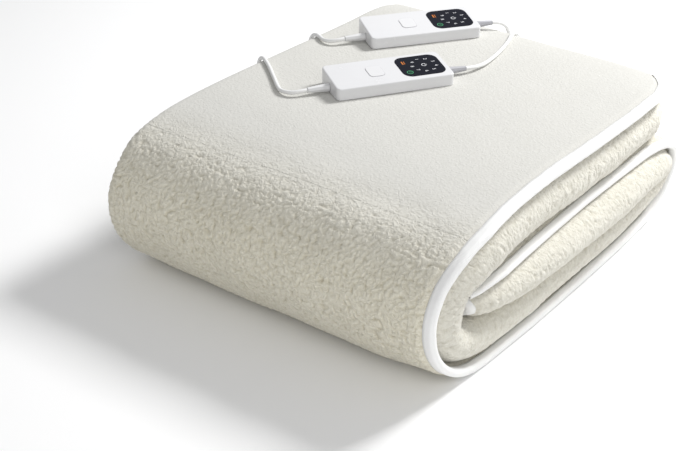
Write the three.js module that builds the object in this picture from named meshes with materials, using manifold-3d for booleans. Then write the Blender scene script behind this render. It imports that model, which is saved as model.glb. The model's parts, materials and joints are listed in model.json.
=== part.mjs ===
// An electric underblanket of long-pile fleece, folded into a thick pack, with its two hand
// controllers lying on top and the leads that join them to the blanket and to the mains.
// Millimetres, +Z up. X runs along the front fold, Y from the front fold to the back, and the
// origin lies on the floor under the middle of the pack.
//
// The cloth is one sheet that is folded twice. Across X it is a serpentine of four sheets, so
// one layer of the pack is four sheets thick. That layer is then rolled once around Y: the top
// layer comes from the back over the front fold, runs back along the floor, and turns inside
// at the back fold to become the middle layer.

import * as THREE from 'three';
import * as BufferGeometryUtils from 'three/addons/utils/BufferGeometryUtils.js';
import Module from 'manifold-3d';

const wasm = await Module();
wasm.setup();

// Cloth
const PACK_LENGTH = 400;
const SHEET = 10.6;
const LAYER = 58;
const SHEETS_IN_LAYER = 4;
const SHEET_GAP = (LAYER - SHEETS_IN_LAYER * SHEET) / (SHEETS_IN_LAYER - 1);
const RIGHT_EDGE = 201;
const RIGHT_FOLD = 199;
const LEFT_FOLD = -200;
const INNER_LEFT_FOLD = -194;
const TUCKED_EDGE = 132;

// Bound edges: a tape folded round the pressed rim of the cloth
const TAPE_REACH = 10;
const TAPE_HALF = 5;
const TAPE_CLEAR_HALF = 4;
const RIM_HALF = 3;
const RIM_START = 2.3;
const RIM_FULL = 11;
const RIM_END = 16;
const HEM_ROW_LENGTH = 12;

// Controllers
const CASE_LENGTH = 134;
const CASE_WIDTH = 54;
const CASE_NEAR = 13.5;
const CASE_FAR = 20;
const CASE_CORNER = 4;
const CASE_BEVEL = 1.4;
const SEAT_GAP = 0.5;
const PIECE_GAP = 0.3;
const SCREEN = { x: 37, y: 0, length: 49, width: 42, corner: 10, thick: 1.5, proud: 0.3 };
const BUTTON = { x: -15, y: 0, length: 17, width: 21, corner: 4.5, thick: 2.4, proud: 0.5 };
const BUTTON_TRAVEL = 0.8;
const CONTROLLERS = [
  { name: 'front', x: -48, y: 15, turn: 58 },
  { name: 'rear', x: -105, y: 155, turn: 55.5 },
];

// Leads
const LEAD = 4.5;
const LEAD_SIDES = 8;
const LEAD_STEP = 13.5;
const RELIEF = { length: 24, root: 4.6, tip: 2.9, collar: 4, sides: 8 };
const RELIEF_RISE = 6;
const COIL = { mean: 25, turnsAcross: 3, turnsHigh: 3, chamfer: 1.8, sides: 20 };
const PLUG = { length: 36, front: 35, back: 11, shoulder: 24, thick: 14, bevel: 2 };
const PLUG_RELIEF = { length: 26, root: 5.2, tip: 3, collar: 3, sides: 8 };
const PIN = { length: 19, diameter: 4, spacing: 18.6, sides: 8 };
const INLET = { width: 14, height: 26, thick: 10, corner: 3, back: 252.2, top: 139 };

// The four leads. Each route is where the lead's middle runs, from its strain relief on.
const LEADS = [
  {
    name: 'mains_front',
    coil: { x: -260, y: 45 },
    route: [
      [-96.6, -62.8, 170.3], [-100.3, -68.7, 169.9], [-106.5, -74.3, 168.9], [-114.5, -76.6, 168.2],
      [-123.5, -74.6, 167.4], [-134, -67, 167], [-147, -56, 166.9], [-160, -45, 166.7],
      [-173, -34, 166.8], [-186, -24, 166.8], [-198, -15.5, 165.8], [-208, -9.5, 161.2],
      [-214, -6, 152], [-216.5, -4.5, 139], [-217, -4, 115], [-217, -3.5, 90],
      [-217, -3, 65], [-217.2, -2.5, 43], [-218, -1, 25], [-221, 4, 11.5],
      [-226, 12, 4.2], [-229.6, 20, 2.6], [-230.5, 28.4, 2.55],
    ],
  },
  {
    name: 'mains_rear',
    coil: { x: -260, y: 185 },
    route: [
      [-156.9, 79.3, 170], [-160, 74.4, 169.5], [-165.4, 69.8, 168.4], [-173, 67.8, 167.2],
      [-181, 69.5, 166.4], [-189.5, 74.5, 166], [-199, 80, 164.6], [-208, 84, 160],
      [-214, 86.5, 151], [-216.5, 88, 138], [-217, 89, 115], [-217, 90, 90],
      [-217, 91, 65], [-217.2, 92, 43], [-218, 94, 25], [-220, 99, 11.5],
      [-222.5, 108, 4.2], [-224.5, 121, 2.6], [-227, 136, 2.55], [-229.5, 152, 2.55],
      [-230.5, 168.4, 2.55],
    ],
  },
  {
    name: 'blanket_front',
    inlet: -28.5,
    route: [
      [0.6, 92.9, 169.1], [3.2, 98.5, 168.7], [5.4, 107, 167.7], [6.2, 120, 166.6],
      [4.6, 135, 166], [1.8, 151, 165.5], [-1.8, 167, 165.1], [-6.2, 183, 164.7],
      [-11, 198, 164.1], [-16.5, 212, 163.2], [-22, 225, 161.9], [-26, 236, 160],
      [-27.8, 244.5, 157], [-28.4, 251, 152.2], [-28.5, 255.6, 147.6], [-28.5, 257.1, 143.2],
      [-28.5, 257.2, 139.5],
    ],
  },
  {
    name: 'blanket_rear',
    inlet: -44.5,
    route: [
      [-52.9, 230.6, 168.9], [-50.2, 234.8, 168.3], [-47.6, 239.6, 167], [-45.8, 245.4, 164],
      [-45, 251, 159.2], [-44.6, 255.2, 152.5], [-44.5, 256.9, 147], [-44.5, 257.2, 143.2],
      [-44.5, 257.2, 139.5],
    ],
  },
];

// Material colours, as seen in the photograph
const fleece = new THREE.MeshStandardMaterial({ color: 0xdeddd3, roughness: 0.95 });
const tape = new THREE.MeshStandardMaterial({ color: 0xf4f4f2, roughness: 0.7 });
const whitePlastic = new THREE.MeshStandardMaterial({ color: 0xf3f3f4, roughness: 0.3 });
const blackPanel = new THREE.MeshStandardMaterial({ color: 0x0b0d14, roughness: 0.12 });
const leadPlastic = new THREE.MeshStandardMaterial({ color: 0xf0f0f0, roughness: 0.45 });
const greyRubber = new THREE.MeshStandardMaterial({ color: 0xcfcfd2, roughness: 0.6 });
const pinMetal = new THREE.MeshStandardMaterial({ color: 0xc9c9c6, roughness: 0.25, metalness: 1 });

const part = new THREE.Group();

function addPiece(name, geometry, material, parent = part) {
  const mesh = new THREE.Mesh(geometry, material);
  mesh.name = name;
  parent.add(mesh);
  return mesh;
}

// Closed solid between two matching nets of points, joined along their rims.
// outer[k][i] and inner[k][i] are the two faces of a strip: k counts along, i across.
function stripSolid(outer, inner) {
  const rows = outer.length;
  const count = outer[0].length;
  const positions = [];
  for (const net of [outer, inner]) {
    for (const row of net) {
      for (const point of row) {
        positions.push(point.x, point.y, point.z);
      }
    }
  }
  const at = (side, k, i) => side * rows * count + k * count + i;
  const faces = [];
  const quad = (a, b, c, d) => faces.push(a, b, c, a, c, d);
  for (let k = 0; k < rows - 1; k += 1) {
    for (let i = 0; i < count - 1; i += 1) {
      quad(at(0, k, i), at(0, k, i + 1), at(0, k + 1, i + 1), at(0, k + 1, i));
      quad(at(1, k, i), at(1, k + 1, i), at(1, k + 1, i + 1), at(1, k, i + 1));
    }
    quad(at(0, k, 0), at(0, k + 1, 0), at(1, k + 1, 0), at(1, k, 0));
    quad(at(0, k, count - 1), at(1, k, count - 1), at(1, k + 1, count - 1), at(0, k + 1, count - 1));
  }
  for (let i = 0; i < count - 1; i += 1) {
    quad(at(0, 0, i), at(1, 0, i), at(1, 0, i + 1), at(0, 0, i + 1));
    const last = rows - 1;
    quad(at(0, last, i), at(0, last, i + 1), at(1, last, i + 1), at(1, last, i));
  }
  const geometry = new THREE.BufferGeometry();
  geometry.setAttribute('position', new THREE.Float32BufferAttribute(positions, 3));
  geometry.setIndex(faces);
  return facingOut(geometry);
}

// Six times the signed volume tells which way the faces point.
function facingOut(geometry) {
  const position = geometry.getAttribute('position');
  const index = geometry.getIndex().array;
  const corner = [new THREE.Vector3(), new THREE.Vector3(), new THREE.Vector3()];
  let volume = 0;
  for (let k = 0; k < index.length; k += 3) {
    corner.forEach((point, i) => point.fromBufferAttribute(position, index[k + i]));
    volume += corner[0].dot(corner[1].cross(corner[2]));
  }
  if (volume < 0) {
    for (let k = 0; k < index.length; k += 3) {
      const swap = index[k];
      index[k] = index[k + 1];
      index[k + 1] = swap;
    }
  }
  return geometry;
}

// The serpentine of one layer
// x runs across the pack and t down through the layer, 0 at its outer face. Each stretch is a
// straight sheet or a half turn, and s is the distance along the cloth from its bound edge.
const sheetCentre = (number) => SHEET / 2 + number * (SHEET + SHEET_GAP);
const topSheet = sheetCentre(0);
const secondSheet = sheetCentre(1);
const tuckedSheet = sheetCentre(2);
const lastSheet = sheetCentre(3);
const SMALL_TURN = (secondSheet - topSheet) / 2;
const LARGE_TURN = (lastSheet - secondSheet) / 2;
const leftTurnX = LEFT_FOLD + SMALL_TURN + SHEET / 2;
const rightTurnX = RIGHT_FOLD - LARGE_TURN - SHEET / 2;
const innerLeftTurnX = INNER_LEFT_FOLD + SMALL_TURN + SHEET / 2;

const straight = (fromX, toX, t, steps) => ({ fromX, toX, t, steps, length: Math.abs(toX - fromX) });
const halfTurn = (x, t, radius, from, to, steps) => (
  { x, t, radius, from, to, steps, length: Math.PI * radius }
);
const SERPENTINE = [
  straight(RIGHT_EDGE, leftTurnX, topSheet, 6),
  halfTurn(leftTurnX, topSheet + SMALL_TURN, SMALL_TURN, -90, -270, 5),
  straight(leftTurnX, rightTurnX, secondSheet, 2),
  halfTurn(rightTurnX, secondSheet + LARGE_TURN, LARGE_TURN, -90, 90, 7),
  straight(rightTurnX, innerLeftTurnX, lastSheet, 2),
  halfTurn(innerLeftTurnX, lastSheet - SMALL_TURN, SMALL_TURN, 90, 270, 4),
  straight(innerLeftTurnX, TUCKED_EDGE, tuckedSheet, 2),
];
const CLOTH_WIDTH = SERPENTINE.reduce((sum, stretch) => sum + stretch.length, 0);

// Place and outward normal of the cloth's middle, s from its bound edge. towardsEdge rises
// along the outer sheet from 0 at its fold to 1 at its bound edge.
function serpentineAt(s) {
  let left = s;
  let number = 0;
  while (number < SERPENTINE.length - 1 && left > SERPENTINE[number].length) {
    left -= SERPENTINE[number].length;
    number += 1;
  }
  const stretch = SERPENTINE[number];
  if (stretch.radius === undefined) {
    const way = Math.sign(stretch.toX - stretch.fromX);
    const x = stretch.fromX + way * left;
    const towardsEdge = number === 0 ? (x - leftTurnX) / (RIGHT_EDGE - leftTurnX) : 0;
    return { x, t: stretch.t, normalX: 0, normalT: way, towardsEdge };
  }
  const turned = stretch.from + (stretch.to - stretch.from) * (left / stretch.length);
  const angle = THREE.MathUtils.degToRad(turned);
  const way = Math.sign(stretch.to - stretch.from);
  return {
    x: stretch.x + stretch.radius * Math.cos(angle),
    t: stretch.t + stretch.radius * Math.sin(angle),
    normalX: -way * Math.cos(angle),
    normalT: -way * Math.sin(angle),
    towardsEdge: 0,
  };
}

// Distances along the cloth at which the serpentine has a point.
function serpentineStations() {
  const stations = [RIM_START, RIM_FULL, RIM_END];
  let start = 0;
  for (const stretch of SERPENTINE) {
    for (let k = 1; k <= stretch.steps; k += 1) {
      const s = start + (stretch.length * k) / stretch.steps;
      if (s > RIM_END && s < CLOTH_WIDTH - RIM_END) {
        stations.push(s);
      }
    }
    start += stretch.length;
  }
  stations.push(CLOTH_WIDTH - RIM_END, CLOTH_WIDTH - RIM_FULL, CLOTH_WIDTH - RIM_START);
  return stations;
}

// The roll of the layer, from the back hem of the top layer to the front hem of the middle one.
// out and in are the layer's outer and inner face in Y and Z. right and left shift its two ends
// in X, and edge shifts only the bound edge of its outer sheet. belly bulges the outer face
// forward between the ends, and steps is the number of steps to the next row.
const column = ['name', 'outY', 'outZ', 'inY', 'inZ', 'right', 'left', 'edge', 'belly', 'steps'];
const ROLL = [
  ['back hem', 252, 139, 247, 107.5, -52, 18, 0, 0, 1],
  ['back hem', 248.5, 150, 235, 107, -45, 8, 0, 0, 2],
  ['back roll', 236, 156, 222, 106.5, -33, -2, 0, 0, 1],
  ['back roll', 214, 159.5, 204, 106, -18, -7, 0, 0, 1],
  ['top', 180, 161, 176, 106, -7, -8, 0, 0, 2],
  ['top', 120, 162, 118, 106, -2, -8, 0, 0, 2],
  ['top', 30, 163, 30, 105.5, 0, -7, 0, 0, 3],
  ['top', -60, 163.5, -58, 105, 0, -6, 0, 0, 2],
  ['top', -130, 162, -120, 104.5, 3, -6, 0, 0, 2],
  ['front fold', -180, 156.5, -152, 102.5, 7, -6, 0, 0, 2],
  ['front fold', -218, 143, -173, 97, 5, -7, 0, 0, 2],
  ['front fold', -244, 121, -188, 88, 1, -7, 0, 0, 2],
  ['front fold', -257, 94, -196, 76, 0, -7, 0, 1, 2],
  ['front fold', -255, 66, -198, 65, 0, -7, 0, 3, 2],
  ['front fold', -243, 41, -193, 55, 0, -6, 0, 6, 2],
  ['front fold', -221, 18.5, -180, 49.5, 0, -5, 0, 9, 2],
  ['front fold', -192, 3.5, -163, 47.5, 0, -3, 0, 12, 2],
  ['bottom', -165, 0, -143, 47, 1, -1, 0, 8, 2],
  ['bottom', -80, 0, -76, 47, 2, 1, 0, 0, 2],
  ['bottom', 20, 0, 20, 47.5, 0, 1, 0, 0, 2],
  ['bottom', 110, 0, 108, 48.5, -3, 1, 0, 0, 2],
  ['bottom', 160, 0, 152, 49.5, -6, 3, 0, 0, 1],
  ['back fold', 193, 6, 178, 51, -7, 5, 0, 0, 1],
  ['back fold', 216, 24, 192, 52.5, -5, 7, 0, 0, 1],
  ['back fold', 228, 47, 198, 54, -3, 8, 0, 0, 1],
  ['back fold', 228, 70, 198, 55.5, 0, 8, 0, 0, 1],
  ['back fold', 216, 90, 192, 57, 4, 7, -2, 0, 1],
  ['back fold', 193, 101.5, 178, 58, 8, 6, -6, 0, 1],
  ['middle', 160, 103, 152, 58, 11, 5, -13, 0, 2],
  ['middle', 100, 102, 98, 56.5, 14, 5, -17, 0, 2],
  ['middle', 20, 100.5, 20, 54, 14, 5, -17, 0, 2],
  ['middle', -60, 97.5, -58, 52.5, 13, 5, -14, 0, 2],
  ['middle', -135, 92.5, -131, 52, 8, 5, -7, 0, 1],
  ['front hem', -171, 87, -168, 54, 0, 7, -4, 0, 1],
  ['front hem', -182.5, 85, -179.5, 55, -8, 11, 0, 0, 0],
].map((row) => Object.fromEntries(row.map((value, i) => [column[i], value])));
const LAST_ROW = ROLL.length - 1;

// Soft swells and hollows of the top face, as raised by the loosely folded sheets below.
const SWELLS = [
  { x: -150, y: 215, reachX: 110, reachY: 60, height: 3.5 },
  { x: 205, y: 235, reachX: 70, reachY: 50, height: -6 },
];

const curveOf = (yKey, zKey) => new THREE.CatmullRomCurve3(
  ROLL.map((row) => new THREE.Vector3(0, row[yKey], row[zKey])),
  false,
  'centripetal',
);
const outerFace = curveOf('outY', 'outZ');
const innerFace = curveOf('inY', 'inZ');

// A face of the layer at u. The taped hems, the first and the last row, are straight.
function facePoint(face, u) {
  const row = Math.floor(u);
  if (u < 1 || u > LAST_ROW - 1) {
    const from = face.getPoint(Math.min(row, LAST_ROW - 1) / LAST_ROW);
    const to = face.getPoint((Math.min(row, LAST_ROW - 1) + 1) / LAST_ROW);
    return from.lerp(to, u - Math.min(row, LAST_ROW - 1));
  }
  return face.getPoint(u / LAST_ROW);
}

function rowBlend(key, u) {
  const row = Math.min(Math.floor(u), LAST_ROW - 1);
  return THREE.MathUtils.lerp(ROLL[row][key], ROLL[row + 1][key], u - row);
}

const TOP_ROWS = ROLL.filter((row) => row.name.startsWith('top') || row.name.startsWith('back roll'));
const TOP_END = ROLL.indexOf(TOP_ROWS.at(-1)) + 2;

function swellAt(x, y, u) {
  if (u > TOP_END) {
    return 0;
  }
  const bell = (swell) => Math.exp(
    -(((x - swell.x) / swell.reachX) ** 2) - ((y - swell.y) / swell.reachY) ** 2,
  );
  const fade = THREE.MathUtils.smoothstep(TOP_END - u, 0, 2) * THREE.MathUtils.smoothstep(u, 0, 2);
  return fade * SWELLS.reduce((sum, swell) => sum + swell.height * bell(swell), 0);
}

// The belly of the front fold ends short of the pack's right end.
const BELLY_FULL = 110;
const BELLY_END = 205;
const bellyAt = (x, u) => rowBlend('belly', u) * (1 - THREE.MathUtils.smoothstep(x, BELLY_FULL, BELLY_END));

// Point of the folded cloth: s along the serpentine, n off its middle, u along the roll.
function clothPoint(s, n, u) {
  const fold = serpentineAt(s);
  const depth = (fold.t + n * fold.normalT) / LAYER;
  const flatX = fold.x + n * fold.normalX;
  const share = (flatX + PACK_LENGTH / 2) / PACK_LENGTH;
  const ends = rowBlend('right', u) * share + rowBlend('left', u) * (1 - share);
  const x = flatX + ends + rowBlend('edge', u) * fold.towardsEdge;
  const outer = facePoint(outerFace, u);
  const inner = facePoint(innerFace, u);
  outer.y -= bellyAt(x, u);
  outer.z = Math.max(0, outer.z) + swellAt(x, outer.y, u);
  const point = outer.lerp(inner, depth);
  point.x = x;
  return point;
}

// The cloth is pressed thin where the tape holds it.
function halfThickness(s, u) {
  const fromEdge = Math.min(s, CLOTH_WIDTH - s);
  const across = THREE.MathUtils.smoothstep(fromEdge, RIM_FULL, RIM_END);
  const fromHem = Math.min(u, LAST_ROW - u);
  const along = THREE.MathUtils.smoothstep(fromHem, 1, 1.45);
  return THREE.MathUtils.lerp(RIM_HALF, SHEET / 2, Math.min(across, along));
}

// Steps of the roll, with one more at each hem where the cloth starts inside its tape.
const hemStart = RIM_START / HEM_ROW_LENGTH;
function rollStations() {
  const stations = [];
  ROLL.forEach((row, index) => {
    for (let k = 0; k < row.steps; k += 1) {
      stations.push(index + k / row.steps);
    }
  });
  stations.push(LAST_ROW);
  stations.splice(1, 0, hemStart);
  stations.splice(-1, 0, LAST_ROW - hemStart);
  return stations;
}

const acrossCloth = serpentineStations();
const alongCloth = rollStations();

function makeCloth() {
  const face = (side) => alongCloth.slice(1, -1).map(
    (u) => acrossCloth.map((s) => clothPoint(s, side * halfThickness(s, u), u)),
  );
  return stripSolid(face(1), face(-1));
}

// Section of the tape: a folded channel with a rounded back, d in from its outer edge.
const TAPE_OUTER = [
  { d: TAPE_REACH, n: -TAPE_HALF },
  { d: 0.8, n: -TAPE_HALF * 0.85 },
  { d: 0, n: 0 },
  { d: 0.8, n: TAPE_HALF * 0.85 },
  { d: TAPE_REACH, n: TAPE_HALF },
];
const TAPE_INNER = [
  { d: TAPE_REACH, n: -TAPE_CLEAR_HALF },
  { d: 2, n: -TAPE_CLEAR_HALF * 0.95 },
  { d: 1.2, n: 0 },
  { d: 2, n: TAPE_CLEAR_HALF * 0.95 },
  { d: TAPE_REACH, n: TAPE_CLEAR_HALF },
];

function makeLongTape(edgeAt) {
  const face = (section) => alongCloth.map((u) => section.map(({ d, n }) => clothPoint(edgeAt(d), n, u)));
  return stripSolid(face(TAPE_OUTER), face(TAPE_INNER));
}

function makeHemTape(rowAt) {
  const stations = acrossCloth.filter((s) => s >= RIM_FULL && s <= CLOTH_WIDTH - RIM_FULL);
  const face = (section) => stations.map(
    (s) => section.map(({ d, n }) => clothPoint(s, n, rowAt(d / HEM_ROW_LENGTH))),
  );
  return stripSolid(face(TAPE_OUTER), face(TAPE_INNER));
}

const cloth = addPiece('blanket_cloth', makeCloth(), fleece);
addPiece('binding_right_edge', makeLongTape((d) => d), tape);
addPiece('binding_tucked_edge', makeLongTape((d) => CLOTH_WIDTH - d), tape);
addPiece('binding_back_hem', makeHemTape((d) => d), tape);
addPiece('binding_front_hem', makeHemTape((d) => LAST_ROW - d), tape);

// Drops the shading data, joins equal points and leaves out flat faces at a pole.
function closedSolid(geometry) {
  geometry.deleteAttribute('normal');
  geometry.deleteAttribute('uv');
  const merged = BufferGeometryUtils.mergeVertices(geometry, 1e-4);
  const index = merged.getIndex().array;
  const kept = [];
  for (let k = 0; k < index.length; k += 3) {
    const [a, b, c] = [index[k], index[k + 1], index[k + 2]];
    if (a !== b && b !== c && c !== a) {
      kept.push(a, b, c);
    }
  }
  const solid = new THREE.BufferGeometry();
  solid.setAttribute('position', merged.getAttribute('position'));
  solid.setIndex(kept);
  return facingOut(solid);
}

function toManifold(geometry) {
  return new wasm.Manifold(new wasm.Mesh({
    numProp: 3,
    vertProperties: new Float32Array(geometry.getAttribute('position').array),
    triVerts: new Uint32Array(geometry.getIndex().array),
  }));
}

function fromManifold(solid) {
  const mesh = solid.getMesh();
  const geometry = new THREE.BufferGeometry();
  geometry.setAttribute('position', new THREE.BufferAttribute(mesh.vertProperties, 3));
  geometry.setIndex(Array.from(mesh.triVerts));
  return geometry;
}

function cutAway(geometry, cutters) {
  const cut = cutters.reduce((solid, cutter) => solid.subtract(toManifold(cutter)), toManifold(geometry));
  return fromManifold(cut);
}

function roundedRectangle(length, width, corner) {
  const x = length / 2 - corner;
  const y = width / 2 - corner;
  const shape = new THREE.Shape();
  shape.absarc(x, y, corner, 0, Math.PI / 2);
  shape.absarc(-x, y, corner, Math.PI / 2, Math.PI);
  shape.absarc(-x, -y, corner, Math.PI, Math.PI * 1.5);
  shape.absarc(x, -y, corner, Math.PI * 1.5, Math.PI * 2);
  return shape;
}

// Plate with an upright edge, from one height to another.
function plate(length, width, corner, low, high, curveSegments = 4) {
  const geometry = new THREE.ExtrudeGeometry(
    roundedRectangle(length, width, corner),
    { depth: high - low, bevelEnabled: false, curveSegments },
  );
  return closedSolid(geometry.translate(0, 0, low));
}

// Plate with rounded edges, standing on z = 0.
function softPlate(length, width, corner, height, bevel, curveSegments = 3) {
  const geometry = new THREE.ExtrudeGeometry(
    roundedRectangle(length - 2 * bevel, width - 2 * bevel, corner),
    {
      depth: height - 2 * bevel,
      bevelEnabled: true,
      bevelThickness: bevel,
      bevelSize: bevel,
      bevelSegments: 2,
      curveSegments,
    },
  );
  return closedSolid(geometry.translate(0, 0, bevel));
}

// Controllers
// A controller's own frame: x along the case towards its screen, y across it to its high side,
// z up from the face that lies on the cloth.
const caseHeightAt = (y) => THREE.MathUtils.lerp(CASE_NEAR, CASE_FAR, y / CASE_WIDTH + 0.5);
const CASE_MIDDLE = caseHeightAt(0);
const FACE_TILT = Math.atan2(CASE_FAR - CASE_NEAR, CASE_WIDTH);

function onFace(geometry, x, y) {
  const toFace = new THREE.Matrix4()
    .makeTranslation(x, 0, CASE_MIDDLE)
    .multiply(new THREE.Matrix4().makeRotationX(FACE_TILT))
    .multiply(new THREE.Matrix4().makeTranslation(0, y, 0));
  return geometry.applyMatrix4(toFace);
}

function makeCase() {
  const body = softPlate(CASE_LENGTH, CASE_WIDTH, CASE_CORNER, CASE_MIDDLE, CASE_BEVEL);
  const position = body.getAttribute('position');
  for (let i = 0; i < position.count; i += 1) {
    position.setZ(i, (position.getZ(i) * caseHeightAt(position.getY(i))) / CASE_MIDDLE);
  }
  const wells = [[SCREEN, 0], [BUTTON, BUTTON_TRAVEL]].map(([piece, travel]) => {
    const floor = piece.proud - piece.thick - travel - PIECE_GAP;
    const spare = 2 * PIECE_GAP;
    const well = plate(piece.length + spare, piece.width + spare, piece.corner + PIECE_GAP, floor, CASE_FAR);
    return onFace(well, piece.x, piece.y);
  });
  return cutAway(body, wells);
}

function makeInset(piece) {
  const slab = plate(piece.length, piece.width, piece.corner, piece.proud - piece.thick, piece.proud);
  return onFace(slab, piece.x, piece.y);
}

// Tapered sleeve along +X, its wide end at x = 0.
function makeRelief({ length, root, tip, collar, sides }) {
  const profile = [[0, 0], [root, 0], [root, collar], [tip, length], [0, length]];
  const sleeve = new THREE.LatheGeometry(profile.map(([r, h]) => new THREE.Vector2(r, h)), sides);
  return closedSolid(sleeve.rotateZ(-Math.PI / 2));
}

const ray = new THREE.Raycaster();
const DOWN = new THREE.Vector3(0, 0, -1);
cloth.updateMatrixWorld();
cloth.geometry.computeBoundingSphere();

function clothTopAt(x, y) {
  ray.set(new THREE.Vector3(x, y, 2 * PACK_LENGTH), DOWN);
  return ray.intersectObject(cloth)[0].point.z;
}

// Lays a controller on the cloth: it takes the slope under it and clears the highest point.
function seatOnCloth(controller, { x, y, turn }) {
  const angle = THREE.MathUtils.degToRad(turn);
  const along = new THREE.Vector3(Math.cos(angle), Math.sin(angle), 0);
  const side = new THREE.Vector3(-along.y, along.x, 0);
  const probe = (a, b) => {
    const px = x + along.x * a + side.x * b;
    const py = y + along.y * a + side.y * b;
    return new THREE.Vector3(px, py, clothTopAt(px, py));
  };
  const [halfLength, halfWidth] = [CASE_LENGTH / 2, CASE_WIDTH / 2];
  const xAxis = probe(halfLength, 0).sub(probe(-halfLength, 0)).normalize();
  const across = probe(0, halfWidth).sub(probe(0, -halfWidth));
  const zAxis = new THREE.Vector3().crossVectors(xAxis, across).normalize();
  const yAxis = new THREE.Vector3().crossVectors(zAxis, xAxis);
  const origin = probe(0, 0);
  let lift = 0;
  for (let a = -1; a <= 1; a += 0.125) {
    for (let b = -1; b <= 1; b += 0.25) {
      lift = Math.max(lift, probe(a * halfLength, b * halfWidth).sub(origin).dot(zAxis));
    }
  }
  controller.quaternion.setFromRotationMatrix(new THREE.Matrix4().makeBasis(xAxis, yAxis, zAxis));
  controller.position.copy(origin).addScaledVector(zAxis, lift + SEAT_GAP);
}

for (const place of CONTROLLERS) {
  const controller = new THREE.Group();
  part.add(controller);
  addPiece(`case_${place.name}`, makeCase(), whitePlastic, controller);
  addPiece(`screen_${place.name}`, makeInset(SCREEN), blackPanel, controller);
  addPiece(`button_${place.name}`, makeInset(BUTTON), whitePlastic, controller);
  for (const [end, way] of [['mains', -1], ['blanket', 1]]) {
    const relief = addPiece(`relief_${end}_${place.name}`, makeRelief(RELIEF), greyRubber, controller);
    relief.position.set(way * (CASE_LENGTH / 2 + PIECE_GAP), 0, RELIEF_RISE);
    relief.rotation.z = way > 0 ? 0 : Math.PI;
  }
  seatOnCloth(controller, place);
}

// Leads
function leadSection() {
  const corners = Array.from({ length: LEAD_SIDES }, (_, k) => {
    const angle = ((k + 0.5) / LEAD_SIDES) * 2 * Math.PI;
    return new THREE.Vector2(Math.cos(angle) * LEAD / 2, Math.sin(angle) * LEAD / 2);
  });
  return new THREE.Shape(corners);
}

function makeLead(route) {
  const path = new THREE.CatmullRomCurve3(route.map((point) => new THREE.Vector3(...point)), false, 'centripetal');
  const steps = Math.ceil(path.getLength() / LEAD_STEP);
  return closedSolid(new THREE.ExtrudeGeometry(leadSection(), { steps, bevelEnabled: false, extrudePath: path }));
}

// Ring of the outer shape of a coil's turns, lying on z = 0.
function makeCoil() {
  const inner = COIL.mean - (COIL.turnsAcross * LEAD) / 2;
  const outer = COIL.mean + (COIL.turnsAcross * LEAD) / 2;
  const high = COIL.turnsHigh * LEAD;
  const cut = COIL.chamfer;
  const profile = [
    [inner + cut, 0], [outer - cut, 0], [outer, cut], [outer, high - cut],
    [outer - cut, high], [inner + cut, high], [inner, high - cut], [inner, cut], [inner + cut, 0],
  ];
  const ring = new THREE.LatheGeometry(profile.map(([r, h]) => new THREE.Vector2(r, h)), COIL.sides);
  return closedSolid(ring.rotateX(Math.PI / 2));
}

// Flat two-pin plug, its front face at the origin and its body along +Y, on z = 0.
function makePlug() {
  const [front, back] = [PLUG.front / 2 - PLUG.bevel, PLUG.back / 2 - PLUG.bevel];
  const outline = [
    [-front, PLUG.bevel], [front, PLUG.bevel], [front, PLUG.shoulder - PLUG.bevel],
    [back, PLUG.length - PLUG.bevel], [-back, PLUG.length - PLUG.bevel], [-front, PLUG.shoulder - PLUG.bevel],
  ];
  const geometry = new THREE.ExtrudeGeometry(new THREE.Shape(outline.map(([x, y]) => new THREE.Vector2(x, y))), {
    depth: PLUG.thick - 2 * PLUG.bevel,
    bevelEnabled: true,
    bevelThickness: PLUG.bevel,
    bevelSize: PLUG.bevel,
    bevelSegments: 2,
  });
  return closedSolid(geometry.translate(0, 0, PLUG.bevel));
}

function addCoilAndPlug(name, coil) {
  const ring = addPiece(`coil_${name}`, makeCoil(), leadPlastic);
  ring.position.set(coil.x, coil.y, 0);
  const outerTurn = COIL.mean + ((COIL.turnsAcross - 1) * LEAD) / 2;
  const outside = COIL.mean + (COIL.turnsAcross * LEAD) / 2;
  const tipClear = Math.sqrt(outside ** 2 - (outerTurn - PLUG_RELIEF.tip) ** 2) + PIECE_GAP;
  const plug = new THREE.Group();
  part.add(plug);
  const reliefStart = coil.y - tipClear - PLUG_RELIEF.length;
  plug.position.set(coil.x - outerTurn, reliefStart - PIECE_GAP - PLUG.length, 0);
  addPiece(`plug_${name}`, makePlug(), leadPlastic, plug);
  const sleeve = addPiece(`plug_relief_${name}`, makeRelief(PLUG_RELIEF), leadPlastic, plug);
  sleeve.position.set(0, PLUG.length + PIECE_GAP, PLUG.thick / 2);
  sleeve.rotation.z = Math.PI / 2;
  for (const [side, way] of [['left', -1], ['right', 1]]) {
    const pin = new THREE.CylinderGeometry(PIN.diameter / 2, PIN.diameter / 2, PIN.length, PIN.sides);
    const piece = addPiece(`plug_pin_${side}_${name}`, closedSolid(pin), pinMetal, plug);
    piece.position.set((way * PIN.spacing) / 2, -PIN.length / 2 - PIECE_GAP, PLUG.thick / 2);
  }
}

// Moulded block at the blanket's back hem, where a lead goes into the cloth.
function addInlet(name, x) {
  const block = softPlate(INLET.width, INLET.height, INLET.corner, INLET.thick, 1, 1);
  const inlet = addPiece(`inlet_${name}`, block, greyRubber);
  inlet.rotation.x = -Math.PI / 2;
  inlet.position.set(x, INLET.back, INLET.top - INLET.height / 2);
}

for (const lead of LEADS) {
  addPiece(`lead_${lead.name}`, makeLead(lead.route), leadPlastic);
  if (lead.coil) {
    addCoilAndPlug(lead.name, lead.coil);
  } else {
    addInlet(lead.name, lead.inlet);
  }
}

export default part;
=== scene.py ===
"""A folded electric underblanket of long-pile fleece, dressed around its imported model.

Metres, +Z up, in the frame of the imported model. Sizes of the cloth are kept in millimetres, as
in the part's source, and turned into metres where a mesh is made.
"""
import json
import logging
import math
from dataclasses import dataclass, field
from enum import Enum
from typing import Callable, Sequence

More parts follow.
